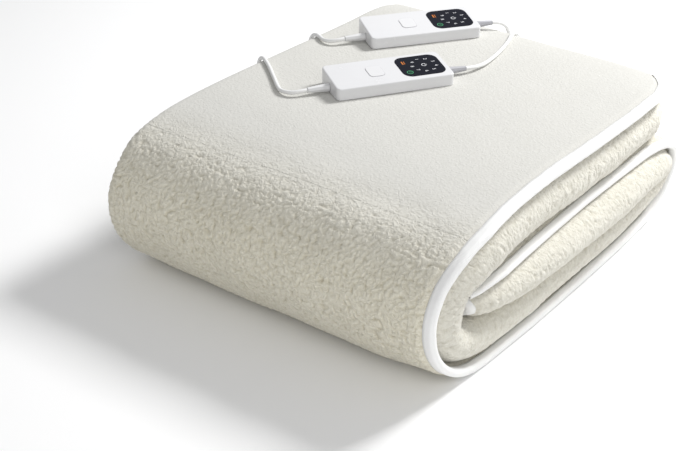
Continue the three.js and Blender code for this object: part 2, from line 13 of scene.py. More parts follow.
import bpy
import numpy as np
from mathutils import Matrix, Vector


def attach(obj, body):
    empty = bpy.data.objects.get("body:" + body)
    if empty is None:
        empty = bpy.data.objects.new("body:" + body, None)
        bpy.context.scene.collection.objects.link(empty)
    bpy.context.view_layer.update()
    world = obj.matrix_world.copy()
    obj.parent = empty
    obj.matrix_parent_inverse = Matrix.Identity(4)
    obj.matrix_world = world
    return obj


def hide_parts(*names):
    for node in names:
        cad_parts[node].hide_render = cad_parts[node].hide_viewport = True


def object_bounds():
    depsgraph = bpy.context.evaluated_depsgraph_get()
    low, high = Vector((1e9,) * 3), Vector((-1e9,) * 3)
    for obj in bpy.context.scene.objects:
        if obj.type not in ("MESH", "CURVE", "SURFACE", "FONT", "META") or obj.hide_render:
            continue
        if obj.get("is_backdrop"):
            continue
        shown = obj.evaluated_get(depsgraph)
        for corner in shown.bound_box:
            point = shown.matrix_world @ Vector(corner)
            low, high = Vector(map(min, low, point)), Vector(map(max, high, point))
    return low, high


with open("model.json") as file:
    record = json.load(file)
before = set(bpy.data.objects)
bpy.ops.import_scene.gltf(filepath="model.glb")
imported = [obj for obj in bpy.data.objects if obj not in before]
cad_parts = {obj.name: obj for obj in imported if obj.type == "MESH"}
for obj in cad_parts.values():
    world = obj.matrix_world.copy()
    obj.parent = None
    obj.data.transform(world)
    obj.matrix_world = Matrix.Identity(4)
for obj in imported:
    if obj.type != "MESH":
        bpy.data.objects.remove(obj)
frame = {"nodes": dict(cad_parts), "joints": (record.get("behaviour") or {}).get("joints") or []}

CAD_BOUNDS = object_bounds()
BODY = "pack"
MM = 0.001

Array = np.ndarray
Colour = tuple[float, float, float]
Material = bpy.types.Material
Object = bpy.types.Object
Socket = bpy.types.NodeSocket

log = logging.getLogger("underblanket")


# Meshes

def smooth(x: Array, low: float, high: float) -> Array:
    """Smooth step: 0 below low, 1 above high and t * t * (3 - 2 t) between them.

    Args:
        x: Values to step.
        low: Where the step begins. It may be above high, for a falling step.
        high: Where the step ends.

    Returns:
        The stepped values, from 0 to 1.
    """
    t = np.clip((np.asarray(x, float) - low) / (high - low), 0.0, 1.0)
    return t * t * (3.0 - 2.0 * t)


def quad_grid(rows: int, columns: int, start: int = 0) -> Array:
    """Quads of a grid of points that are numbered row by row.

    Args:
        rows: Number of rows.
        columns: Number of points in a row.
        start: Number of the grid's first point.

    Returns:
        One row of four point numbers for each quad.
    """
    index = start + np.arange(rows * columns).reshape(rows, columns)
    corners = (index[:-1, :-1], index[:-1, 1:], index[1:, 1:], index[1:, :-1])
    return np.stack([corner.ravel() for corner in corners], axis=1)


def signed_volume(points: Array, quads: Array) -> float:
    """Volume under a closed mesh of quads, negative where its faces point inwards.

    Args:
        points: Coordinates of the points.
        quads: Point numbers of the quads.

    Returns:
        A sixth of the sum of each triangle's triple product.
    """
    corner = points[quads]
    return sum(
        float(np.einsum("ij,ij->", corner[:, 0], np.cross(corner[:, b], corner[:, b + 1])))
        for b in (1, 2)
    ) / 6.0


def outward(points: Array, quads: Array) -> Array:
    """Turns the quads of a closed mesh over where they face inwards."""
    return quads[:, ::-1] if signed_volume(points, quads) < 0.0 else quads


def new_piece(name: str, points: Array, faces: Sequence[Sequence[int]], material: Material,
              slot: str, flat: bool = False) -> Object:
    """Makes a mesh piece that rides on the pack.

    Args:
        name: Name of the piece.
        points: Coordinates in metres.
        faces: Point numbers of each face.
        material: The finish of the piece.
        slot: The record's material slot that the finish belongs to; not used.
        flat: Whether its faces stay flat shaded.

    Returns:
        The new object, riding on the pack.
    """
    mesh = bpy.data.meshes.new(name)
    mesh.from_pydata(np.asarray(points, float).tolist(), [], [list(face) for face in faces])
    mesh.update()
    mesh.polygons.foreach_set("use_smooth", [not flat] * len(mesh.polygons))
    mesh.materials.append(material)
    piece = bpy.data.objects.new(name, mesh)
    bpy.context.scene.collection.objects.link(piece)
    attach(piece, BODY)
    return piece


def put_attribute(piece: Object, name: str, values: Array) -> None:
    """Stores one number for each point of a piece, for its material to read."""
    attribute = piece.data.attributes.new(name, "FLOAT", "POINT")
    attribute.data.foreach_set("value", np.asarray(values, np.float32).ravel())


def put_uv(piece: Object, uv: Array) -> None:
    """Stores a UV map in metres along and across the cloth, worked out for each point."""
    mesh = piece.data
    corner_points = np.empty(len(mesh.loops), np.int32)
    mesh.loops.foreach_get("vertex_index", corner_points)
    layer = mesh.uv_layers.new(name="cloth")
    layer.uv.foreach_set("vector", np.asarray(uv, np.float32)[corner_points].ravel())


def mesh_points(mesh: bpy.types.Mesh) -> Array:
    """Coordinates of a mesh's points, one row for each."""
    points = np.empty(len(mesh.vertices) * 3)
    mesh.vertices.foreach_get("co", points)
    return points.reshape(-1, 3)


def shell(outer: Array, inner: Array) -> tuple[Array, Array]:
    """Closed mesh between two matching nets of points, joined along their four rims.

    Args:
        outer: Points of one face, rows by columns by 3.
        inner: Points of the other face, in the same order.

    Returns:
        The points and the quads, with every face pointing outwards.
    """
    rows, columns = outer.shape[:2]
    points = np.concatenate([outer.reshape(-1, 3), inner.reshape(-1, 3)])
    half = rows * columns
    index = np.arange(half).reshape(rows, columns)
    loop = np.concatenate([index[0, :-1], index[:-1, -1], index[-1, :0:-1], index[:0:-1, 0]])
    after = np.roll(loop, -1)
    rim = np.stack([after, loop, loop + half, after + half], axis=1)
    quads = np.concatenate([quad_grid(rows, columns), quad_grid(rows, columns, half)[:, ::-1], rim])
    return points, outward(points, quads)


def spline(knots: Sequence[Array], spacing: Sequence[Array], w: Array) -> Array:
    """Points of a centripetal Catmull-Rom curve between the middle two of four knots.

    It is the cubic whose slopes come from the knots around it.

    Args:
        knots: The four knots.
        spacing: Square root of the distance from each knot to the next.
        w: Share of the way between the middle two.

    Returns:
        The points.
    """
    p0, p1, p2, p3 = knots
    d0, d1, d2 = spacing
    slope_in = ((p1 - p0) / d0 - (p2 - p0) / (d0 + d1) + (p2 - p1) / d1) * d1
    slope_out = ((p2 - p1) / d1 - (p3 - p1) / (d1 + d2) + (p3 - p2) / d2) * d1
    return (p1 + slope_in * w + (3.0 * (p2 - p1) - 2.0 * slope_in - slope_out) * w ** 2
            + (2.0 * (p1 - p2) + slope_in + slope_out) * w ** 3)


# Relief of the pile

HASH_X = 127.1
HASH_Y = 311.7
HASH_SCALE = 43758.5453


def hashed(ix: Array, iy: Array, seed: float) -> Array:
    """Even scatter from 0 to 1 for each pair of whole numbers.

    The formula is the fraction of sin(HASH_X x + HASH_Y y + seed) times HASH_SCALE.
    """
    value = np.sin(ix * HASH_X + iy * HASH_Y + seed) * HASH_SCALE
    return value - np.floor(value)


def value_noise(x: Array, y: Array, seed: float) -> Array:
    """Smooth noise from -1 to 1: the hashed corners of each unit cell, blended across it.

    Args:
        x: First coordinate, in cells.
        y: Second coordinate, in cells.
        seed: Number that picks the pattern.

    Returns:
        The noise at each point.
    """
    ix, iy = np.floor(x), np.floor(y)
    fx, fy = smooth(x - ix, 0.0, 1.0), smooth(y - iy, 0.0, 1.0)
    low = hashed(ix, iy, seed) * (1.0 - fx) + hashed(ix + 1.0, iy, seed) * fx
    high = hashed(ix, iy + 1.0, seed) * (1.0 - fx) + hashed(ix + 1.0, iy + 1.0, seed) * fx
    return 2.0 * (low * (1.0 - fy) + high * fy) - 1.0


def curls(x: Array, y: Array, size: float, seed: float) -> Array:
    """Round tufts on a plane, as the nearest of one scattered point in each square cell.

    The height is 1 - d * d, with d the distance to the nearest point in cells.

    Args:
        x: First coordinate, in millimetres.
        y: Second coordinate, in millimetres.
        size: Mean distance between tufts, in millimetres.
        seed: Number that picks the pattern.

    Returns:
        Heights from about 0 in the creases to 1 on the tufts.
    """
    cx, cy = x / size, y / size
    ix, iy = np.floor(cx), np.floor(cy)
    scatter, other_seed = 0.8, seed + 7.3
    nearest = np.ones(np.shape(cx))
    for dx in (-1.0, 0.0, 1.0):
        for dy in (-1.0, 0.0, 1.0):
            px = ix + dx + 0.5 + scatter * (hashed(ix + dx, iy + dy, seed) - 0.5)
            py = iy + dy + 0.5 + scatter * (hashed(ix + dx, iy + dy, other_seed) - 0.5)
            nearest = np.minimum(nearest, (cx - px) ** 2 + (cy - py) ** 2)
    return 1.0 - nearest


def pile_height(x: Array, y: Array) -> Array:
    """Curly fleece on a plane: two sizes of tufts on coordinates that two noises bend.

    Args:
        x: Distance across the cloth, in millimetres.
        y: Distance along the cloth, in millimetres.

    Returns:
        Heights from about 0 to 1.
    """
    bend, fine_cell, broad_cell = 2.2, 6.1, 23.0
    large_size, small_size, shift = 4.9, 3.0, 40.0
    large_share, small_share = 0.55, 0.45

    def bent(value: Array, fine_seed: float, broad_seed: float) -> Array:
        """Moves one coordinate by the two noises."""
        return (value + bend * value_noise(x / fine_cell, y / fine_cell, fine_seed)
                + 2.0 * bend * value_noise(x / broad_cell, y / broad_cell, broad_seed))

    bx, by = bent(x, 3.0, 5.0), bent(y, 8.0, 9.0)
    large, small = curls(bx, by, large_size, 1.0), curls(bx + shift, by, small_size, 2.0)
    return large_share * large + small_share * small


# The folded cloth

@dataclass(frozen=True)
class Stretch:
    """One straight sheet or half turn of the serpentine, in millimetres."""

    start: float
    length: float
    from_x: float
    way: float
    t: float
    radius: float = 0.0
    from_angle: float = 0.0
    to_angle: float = 0.0


@dataclass
class Folding:
    """The way the cloth is folded: a serpentine of four sheets, rolled once around Y.

    A point of the cloth is named by s, its distance from the bound edge along the serpentine,
    n, its distance off the cloth's middle, and u, its place along the roll in rows.
    """

    pack_length: float = 400.0
    sheet: float = 10.6
    layer: float = 58.0
    right_edge: float = 201.0
    right_fold: float = 199.0
    left_fold: float = -200.0
    inner_left_fold: float = -194.0
    tucked_edge: float = 132.0
    rim_half: float = 3.0
    rim_full: float = 11.0
    rim_end: float = 16.0
    hem_thin: float = 1.0
    hem_full: float = 1.45
    belly_full: float = 110.0
    belly_end: float = 205.0
    overrun: float = 20.0
    arc_samples: int = 1401
    columns: tuple[str, ...] = (
        "out_y", "out_z", "in_y", "in_z", "right", "left", "edge", "belly")
    rows: tuple[tuple[float, ...], ...] = (
        (252, 139, 247, 107.5, -52, 18, 0, 0),
        (248.5, 150, 235, 107, -45, 8, 0, 0),
        (236, 156, 222, 106.5, -33, -2, 0, 0),
        (214, 159.5, 204, 106, -18, -7, 0, 0),
        (180, 161, 176, 106, -7, -8, 0, 0),
        (120, 162, 118, 106, -2, -8, 0, 0),
        (30, 163, 30, 105.5, 0, -7, 0, 0),
        (-60, 163.5, -58, 105, 0, -6, 0, 0),
        (-130, 162, -120, 104.5, 3, -6, 0, 0),
        (-180, 156.5, -152, 102.5, 7, -6, 0, 0),
        (-218, 143, -173, 97, 5, -7, 0, 0),
        (-244, 121, -188, 88, 1, -7, 0, 0),
        (-257, 94, -196, 76, 0, -7, 0, 1),
        (-255, 66, -198, 65, 0, -7, 0, 3),
        (-243, 41, -193, 55, 0, -6, 0, 6),
        (-221, 18.5, -180, 49.5, 0, -5, 0, 9),
        (-192, 3.5, -163, 47.5, 0, -3, 0, 12),
        (-165, 0, -143, 47, 1, -1, 0, 8),
        (-80, 0, -76, 47, 2, 1, 0, 0),
        (20, 0, 20, 47.5, 0, 1, 0, 0),
        (110, 0, 108, 48.5, -3, 1, 0, 0),
        (160, 0, 152, 49.5, -6, 3, 0, 0),
        (193, 6, 178, 51, -7, 5, 0, 0),
        (216, 24, 192, 52.5, -5, 7, 0, 0),
        (228, 47, 198, 54, -3, 8, 0, 0),
        (228, 70, 198, 55.5, 0, 8, 0, 0),
        (216, 90, 192, 57, 4, 7, -2, 0),
        (193, 101.5, 178, 58, 8, 6, -6, 0),
        (160, 103, 152, 58, 11, 5, -13, 0),
        (100, 102, 98, 56.5, 14, 5, -17, 0),
        (20, 100.5, 20, 54, 14, 5, -17, 0),
        (-60, 97.5, -58, 52.5, 13, 5, -14, 0),
        (-135, 92.5, -131, 52, 8, 5, -7, 0),
        (-171, 87, -168, 54, 0, 7, -4, 0),
        (-182.5, 85, -179.5, 55, -8, 11, 0, 0),
    )
    swells: tuple[tuple[float, ...], ...] = (
        (-150, 215, 110, 60, 3.5),
        (205, 235, 70, 50, -6),
    )
    top_end: float = 9.0
    stretches: list[Stretch] = field(init=False)
    width: float = field(init=False)

    def __post_init__(self) -> None:
        """Works out the serpentine's stretches and the flat width of the cloth."""
        self.table = {name: np.array([row[k] for row in self.rows], float)
                      for k, name in enumerate(self.columns)}
        self.last = len(self.rows) - 1
        pitch = self.sheet + (self.layer - 4.0 * self.sheet) / 3.0
        centre = [self.sheet / 2.0 + number * pitch for number in range(4)]
        small, large = (centre[1] - centre[0]) / 2.0, (centre[3] - centre[1]) / 2.0
        self.left_turn = self.left_fold + small + self.sheet / 2.0
        self.right_turn = self.right_fold - large - self.sheet / 2.0
        self.inner_turn = self.inner_left_fold + small + self.sheet / 2.0
        plan = (
            (self.right_edge, self.left_turn, centre[0]),
            (self.left_turn, centre[0] + small, small, -90.0, -270.0),
            (self.left_turn, self.right_turn, centre[1]),
            (self.right_turn, centre[1] + large, large, -90.0, 90.0),
            (self.right_turn, self.inner_turn, centre[3]),
            (self.inner_turn, centre[3] - small, small, 90.0, 270.0),
            (self.inner_turn, self.tucked_edge, centre[2]),
        )
        self.stretches = []
        start = 0.0
        for item in plan:
            if len(item) == 3:
                length = abs(item[1] - item[0])
                way = 1.0 if item[1] > item[0] else -1.0
                self.stretches.append(Stretch(start, length, item[0], way, item[2]))
            else:
                x, t, radius, from_angle, to_angle = item
                length = math.pi * radius
                way = 1.0 if to_angle > from_angle else -1.0
                self.stretches.append(Stretch(start, length, x, way, t, radius, from_angle, to_angle))
            start += length
        self.width = start
        self.along_u = np.linspace(0.0, self.last, self.arc_samples)
        line = self.face("out_y", "out_z", self.along_u)
        steps = np.hypot(*np.diff(line, axis=-1))
        self.along_mm = np.concatenate([[0.0], np.cumsum(steps)])

    def turn_start(self, number: int) -> float:
        """Distance along the cloth at which a stretch of the serpentine begins."""
        return self.stretches[number].start

    def turn_end(self, number: int) -> float:
        """Distance along the cloth at which a stretch of the serpentine ends."""
        return self.stretches[number].start + self.stretches[number].length

    def serpentine(self, s: Array) -> tuple[Array, Array, Array, Array, Array]:
        """Place and normal of the cloth's middle across the pack.

        A straight stretch moves along x at one depth. A half turn is an arc about its centre.

        Args:
            s: Distances from the bound edge, in millimetres.

        Returns:
            x, depth t, the normal's x and t, and how far towards the bound edge the point lies
            on the outer sheet.
        """
        s = np.clip(np.asarray(s, float), -self.overrun, self.width + self.overrun)
        x, t, normal_x, normal_t, towards = (np.zeros_like(s) for _ in range(5))
        for number, item in enumerate(self.stretches):
            here = s >= item.start if number else np.full(s.shape, True)
            past = s - item.start
            if item.radius:
                turned = item.from_angle + (item.to_angle - item.from_angle) * past / item.length
                angle = np.radians(turned)
                new_x = item.from_x + item.radius * np.cos(angle)
                new_t = item.t + item.radius * np.sin(angle)
                new_normal = (-item.way * np.cos(angle), -item.way * np.sin(angle))
            else:
                new_x = item.from_x + item.way * past
                new_t = np.full(s.shape, item.t)
                new_normal = (np.zeros_like(s), np.full(s.shape, item.way))
            x, t = np.where(here, new_x, x), np.where(here, new_t, t)
            normal_x = np.where(here, new_normal[0], normal_x)
            normal_t = np.where(here, new_normal[1], normal_t)
            share = 0.0 if number else (new_x - self.left_turn) / (self.right_edge - self.left_turn)
            towards = np.where(here, share, towards)
        return x, t, normal_x, normal_t, towards

    def face(self, y_name: str, z_name: str, u: Array) -> Array:
        """Outer or inner face of the rolled layer: a spline with its first and last row straight.

        Args:
            y_name: Column of the face's Y.
            z_name: Column of the face's Z.
            u: Places along the roll, in rows.

        Returns:
            An array of Y and Z.
        """
        knots = np.stack([self.table[y_name], self.table[z_name]])
        before = 2.0 * knots[:, :1] - knots[:, 1:2]
        after = 2.0 * knots[:, -1:] - knots[:, -2:-1]
        knots = np.concatenate([before, knots, after], axis=1)
        spacing = np.sqrt(np.hypot(*np.diff(knots, axis=1)))
        u = np.asarray(u, float)
        k = np.clip(np.floor(u).astype(int), 0, self.last - 1)
        w = u - k
        around = [knots[:, k + step] for step in range(4)]
        cubic = spline(around, [spacing[k + step] for step in range(3)], w)
        straight = around[1] + (around[2] - around[1]) * w
        hem = (u < 1.0) | (u > self.last - 1)
        return np.where(hem, straight, cubic)

    def blend(self, name: str, u: Array) -> Array:
        """A column of the table, blended in a straight line from row to row."""
        return np.interp(u, np.arange(self.last + 1), self.table[name])

    def swell(self, x: Array, y: Array, u: Array) -> Array:
        """Soft rises and hollows of the top face: bell curves in x and y that fade along u."""
        fade = smooth(self.top_end - u, 0.0, 2.0) * smooth(u, 0.0, 2.0)
        bells = sum(height * np.exp(-((x - cx) / rx) ** 2 - ((y - cy) / ry) ** 2)
                    for cx, cy, rx, ry, height in self.swells)
        return fade * bells

    def point(self, s: Array, n: Array, u: Array) -> Array:
        """Places points of the folded cloth.

        The depth through the layer blends between the roll's outer and inner face. The two
        ends of the pack are shifted in x by the table, in proportion to the distance to them.

        Args:
            s: Distances from the bound edge, in millimetres.
            n: Distances off the cloth's middle, in millimetres.
            u: Places along the roll, in rows.

        Returns:
            Coordinates in metres.
        """
        s, n, u = np.broadcast_arrays(*(np.asarray(item, float) for item in (s, n, u)))
        x, t, normal_x, normal_t, towards = self.serpentine(s)
        depth = (t + n * normal_t) / self.layer
        flat_x = x + n * normal_x
        share = (flat_x + self.pack_length / 2.0) / self.pack_length
        x = (flat_x + self.blend("right", u) * share + self.blend("left", u) * (1.0 - share)
             + self.blend("edge", u) * towards)
        outer = self.face("out_y", "out_z", u)
        inner = self.face("in_y", "in_z", u)
        belly = self.blend("belly", u) * (1.0 - smooth(x, self.belly_full, self.belly_end))
        out_y = outer[0] - belly
        out_z = np.maximum(outer[1], 0.0) + self.swell(x, out_y, u)
        y = out_y + (inner[0] - out_y) * depth
        z = np.maximum(out_z + (inner[1] - out_z) * depth, 0.0)
        return np.stack([x, y, z], axis=-1) * MM

    def half(self, s: Array, u: Array) -> Array:
        """Half the cloth's thickness: thin under the tape at its edges and hems, full beyond."""
        across = smooth(np.minimum(s, self.width - s), self.rim_full, self.rim_end)
        along = smooth(np.minimum(u, self.last - u), self.hem_thin, self.hem_full)
        share = np.minimum(across, along)
        return self.rim_half + (self.sheet / 2.0 - self.rim_half) * share

    def arc(self, u: Array) -> Array:
        """Distance along the roll's outer face at u, in millimetres."""
        return np.interp(u, self.along_u, self.along_mm)

    def row_at(self, arc: Array) -> Array:
        """Place along the roll, in rows, at a distance along its outer face."""
        return np.interp(arc, self.along_mm, self.along_u)


FOLDING = Folding()


# Finishes

class Nodes:
    """The node tree of one material or node group, with short ways to add to it."""

    def __init__(self, tree: bpy.types.NodeTree) -> None:
        """Keeps the tree and empties it."""
        self.tree = tree
        tree.nodes.clear()

    def add(self, kind: str, inputs: dict[str, object] | None = None,
            **settings: object) -> bpy.types.Node:
        """Adds a node.

        Args:
            kind: Blender's name for the node.
            inputs: Value or linked socket for each named input.
            settings: Properties of the node.

        Returns:
            The new node.
        """
        node = self.tree.nodes.new(kind)
        for name, value in settings.items():
            setattr(node, name, value)
        self.fill(node, inputs or {})
        return node

    def fill(self, node: bpy.types.Node, inputs: dict[str, object]) -> None:
        """Links or sets each named input of a node."""
        for name, value in inputs.items():
            self.put(node.inputs[name], value)

    def put(self, socket: Socket, value: object) -> None:
        """Links a socket to the input, or sets the input's own value."""
        if isinstance(value, Socket):
            self.tree.links.new(value, socket)
        else:
            socket.default_value = value

    def math(self, operation: str, *values: object, clamp: bool = False) -> Socket:
        """Adds a Math node and returns its output."""
        node = self.add("ShaderNodeMath", operation=operation, use_clamp=clamp)
        for socket, value in zip(node.inputs, values):
            self.put(socket, value)
        return node.outputs[0]

    def ramp(self, value: object, stops: Sequence[tuple[float, Colour]]) -> Socket:
        """Adds a colour ramp and returns its colour.

        Args:
            value: The socket that runs along the ramp.
            stops: Position and linear colour of each stop, in order.

        Returns:
            The ramp's colour output.
        """
        node = self.add("ShaderNodeValToRGB", {"Fac": value})
        elements = node.color_ramp.elements
        while len(elements) < len(stops):
            elements.new(0.5)
        for element, (position, colour) in zip(elements, stops):
            element.position = position
            element.color = (*colour, 1.0)
        return node.outputs["Color"]

    def mix(self, share: object, low: object, high: object) -> Socket:
        """Adds a colour Mix node and returns its result."""
        node = self.add("ShaderNodeMix", data_type="RGBA")
        for name, value in (("Factor_Float", share), ("A_Color", low), ("B_Color", high)):
            socket = next(item for item in node.inputs if item.identifier == name)
            self.put(socket, (*value, 1.0) if isinstance(value, tuple) else value)
        return next(item for item in node.outputs if item.identifier == "Result_Color")


def new_group(name: str, inputs: dict[str, float],
              outputs: Sequence[str]) -> tuple[Nodes, bpy.types.Node, bpy.types.Node]:
    """Makes a shader node group with a vector input and named numbers.

    Args:
        name: Name of the group.
        inputs: Name and default of each number that it takes besides the vector.
        outputs: Name of each number that it puts out.

    Returns:
        The group's nodes, its input node and its output node.
    """
    tree = bpy.data.node_groups.new(name, "ShaderNodeTree")
    tree.interface.new_socket("Vector", in_out="INPUT", socket_type="NodeSocketVector")
    for label, default in inputs.items():
        socket = tree.interface.new_socket(label, in_out="INPUT", socket_type="NodeSocketFloat")
        socket.default_value = default
    for label in outputs:
        tree.interface.new_socket(label, in_out="OUTPUT", socket_type="NodeSocketFloat")
    nodes = Nodes(tree)
    return nodes, nodes.add("NodeGroupInput"), nodes.add("NodeGroupOutput")


def make_curl_group() -> bpy.types.NodeTree:
    """Node group of the fleece's finest curls: small bent cells and loose fibres.

    Returns:
        The group, which puts out a height and a painted shade from 0 to 1, the shade lowest in the creases
        between the curls.
    """
    bend_scale, bend_metres, fibre_share = 130.0, 0.007, 0.35
    nodes, source, sink = new_group("curly_pile", {"Curl": 300.0, "Fibre": 1500.0}, ("Height", "Shade"))
    place = source.outputs["Vector"]
    bend = nodes.add("ShaderNodeTexNoise", {"Vector": place, "Scale": bend_scale, "Detail": 1.0})
    bent = nodes.add("ShaderNodeVectorMath", operation="MULTIPLY_ADD")
    for socket, value in zip(bent.inputs, (bend.outputs["Color"], (bend_metres,) * 3, place)):
        nodes.put(socket, value)
    cells = nodes.add("ShaderNodeTexVoronoi", {
        "Vector": bent.outputs[0], "Scale": source.outputs["Curl"]}, feature="SMOOTH_F1")
    fibre = nodes.add("ShaderNodeTexNoise", {
        "Vector": bent.outputs[0], "Scale": source.outputs["Fibre"], "Detail": 2.0, "Roughness": 0.6})
    crest = nodes.math("SUBTRACT", 1.0, cells.outputs["Distance"])
    nodes.fill(sink, {
        "Height": nodes.math("MULTIPLY_ADD", fibre.outputs["Fac"], fibre_share, crest),
        # Painted shade: low in the creases between the curls, so that the fleece's colour darkens there.
        "Shade": nodes.math("MULTIPLY", crest, crest)})
    return nodes.tree


def make_grain_group() -> bpy.types.NodeTree:
    """Node group of moulded plastic: a fine even grain with faint smears.

    Returns:
        The group, which puts out a height and a wear mask from 0 to 1.
    """
    nodes, source, sink = new_group("moulded_grain", {"Grain": 2500.0, "Smear": 35.0}, ("Height", "Wear"))
    place = source.outputs["Vector"]
    grain = nodes.add("ShaderNodeTexNoise", {
        "Vector": place, "Scale": source.outputs["Grain"], "Detail": 2.0})
    smear = nodes.add("ShaderNodeTexNoise", {
        "Vector": place, "Scale": source.outputs["Smear"], "Detail": 4.0, "Roughness": 0.65})
    nodes.fill(sink, {"Height": grain.outputs["Fac"], "Wear": smear.outputs["Fac"]})
    return nodes.tree


CURLS = make_curl_group()
GRAIN = make_grain_group()


def new_material(name: str) -> tuple[Material, Nodes, bpy.types.Node]:
    """Makes a material with a Principled shader that is wired to its output."""
    material = bpy.data.materials.new(name)
    material.use_nodes = True
    nodes = Nodes(material.node_tree)
    shader = nodes.add("ShaderNodeBsdfPrincipled")
    nodes.add("ShaderNodeOutputMaterial", {"Surface": shader.outputs["BSDF"]})
    return material, nodes, shader


@dataclass(frozen=True)
class FleeceFinish:
    """Curly long-pile fleece, with painted shade in the creases of its pile. Colours are linear."""

    name: str
    # Painted shade: deep and pale_deep darken the creases between tufts and curls, and crest and pale_crest
    # are the tufts' tops; the pale set is the smoothed pile, the other the curly beige pile.
    deep: Colour = (0.40, 0.345, 0.245)
    mid: Colour = (0.65, 0.605, 0.47)
    crest: Colour = (0.82, 0.785, 0.665)
    pale_deep: Colour = (0.46, 0.445, 0.40)
    pale_mid: Colour = (0.58, 0.572, 0.535)
    pale_crest: Colour = (0.645, 0.638, 0.605)
    curl: float = 420.0
    fibre: float = 1500.0
    blotch: float = 22.0
    curl_share: float = 0.32
    tuft_share: float = 0.72
    blotch_share: float = 0.16
    darker: float = 0.10
    flat_bump: float = 0.35
    bump_metres: float = 0.0016
    sheen: float = 0.25

    def build(self) -> Material:
        """Makes the material: colour by the depth in the pile, painted darker in the creases between tufts
        and curls as shade, with curls and fibres as bump.
        """
        material, nodes, shader = new_material(self.name)
        place = nodes.add("ShaderNodeTexCoord").outputs["Object"]
        pile = nodes.add("ShaderNodeGroup", {}, node_tree=CURLS)
        nodes.fill(pile, {"Vector": place, "Curl": self.curl, "Fibre": self.fibre})
        tuft = nodes.add("ShaderNodeAttribute", attribute_name="tuft").outputs["Fac"]
        blotch = nodes.add("ShaderNodeTexNoise", {"Vector": place, "Scale": self.blotch, "Detail": 3.0})
        # Painted shade: the curls' shade and the tufts' height set how far down the ramps go, so the creases
        # get the dark deep colours; darker shifts it all towards them, and the blotch noise adds a random
        # tone.
        depth = nodes.math("MULTIPLY", pile.outputs["Shade"], self.curl_share)
        depth = nodes.math("MULTIPLY_ADD", tuft, self.tuft_share, depth)
        depth = nodes.math("MULTIPLY_ADD", blotch.outputs["Fac"], self.blotch_share, depth)
        depth = nodes.math("SUBTRACT", depth, self.darker, clamp=True)
        curly = nodes.add("ShaderNodeAttribute", attribute_name="curly").outputs["Fac"]
        beige = nodes.ramp(depth, ((0.12, self.deep), (0.45, self.mid), (0.82, self.crest)))
        pale = nodes.ramp(depth, ((0.05, self.pale_deep), (0.45, self.pale_mid), (0.85, self.pale_crest)))
        share = nodes.math("MULTIPLY_ADD", curly, 1.0 - self.flat_bump, self.flat_bump)
        raised = nodes.math("MULTIPLY", pile.outputs["Height"], share)
        bump = nodes.add("ShaderNodeBump", {"Height": raised, "Distance": self.bump_metres, "Strength": 0.9})
        nodes.fill(shader, {
            "Base Color": nodes.mix(curly, pale, beige), "Normal": bump.outputs["Normal"],
            "Roughness": 0.95, "Specular IOR Level": 0.15,
            "Sheen Weight": self.sheen, "Sheen Roughness": 0.6})
        return material


@dataclass(frozen=True)
class TapeFinish:
    """White woven tape with a fine rib across it."""

    name: str
    colour: Colour = (0.90, 0.90, 0.89)
    worn: Colour = (0.80, 0.80, 0.795)
    rib: float = 1400.0
    unevenness: float = 0.6

    def build(self) -> Material:
        """Makes the material: a rib along the tape's UV, with a faint uneven tone."""
        material, nodes, shader = new_material(self.name)
        place = nodes.add("ShaderNodeTexCoord")
        rib = nodes.add("ShaderNodeTexWave", {
            "Vector": place.outputs["UV"], "Scale": self.rib / (2.0 * math.pi),
            "Distortion": 0.6, "Detail": 1.0}, wave_type="BANDS", bands_direction="Y")
        tone = nodes.add("ShaderNodeTexNoise", {
            "Vector": place.outputs["Object"], "Scale": 60.0, "Detail": 4.0})
        share = nodes.math("MULTIPLY", tone.outputs["Fac"], self.unevenness)
        bump = nodes.add("ShaderNodeBump", {
            "Height": rib.outputs["Fac"], "Distance": 0.0002, "Strength": 0.5})
        nodes.fill(shader, {
            "Base Color": nodes.mix(share, self.colour, self.worn), "Normal": bump.outputs["Normal"],
            "Roughness": 0.72, "Sheen Weight": 0.15})
        return material


@dataclass(frozen=True)
class PlasticFinish:
    """Moulded plastic or rubber."""

    name: str
    colour: Colour
    worn: Colour
    roughness: float
    spread: float = 0.08
    grain_metres: float = 0.00004
    coat: float = 0.0
    metal: float = 0.0
    specular: float = 0.5

    def build(self) -> Material:
        """Makes the material: fine grain as bump, with smears in its tone and roughness."""
        material, nodes, shader = new_material(self.name)
        grain = nodes.add("ShaderNodeGroup", {}, node_tree=GRAIN)
        nodes.put(grain.inputs["Vector"], nodes.add("ShaderNodeTexCoord").outputs["Object"])
        wear = grain.outputs["Wear"]
        bump = nodes.add("ShaderNodeBump", {
            "Height": grain.outputs["Height"], "Distance": self.grain_metres, "Strength": 0.4})
        nodes.fill(shader, {
            "Base Color": nodes.mix(wear, self.colour, self.worn), "Normal": bump.outputs["Normal"],
            "Roughness": nodes.math("MULTIPLY_ADD", wear, self.spread, self.roughness),
            "Metallic": self.metal, "Coat Weight": self.coat, "Specular IOR Level": self.specular})
        return material


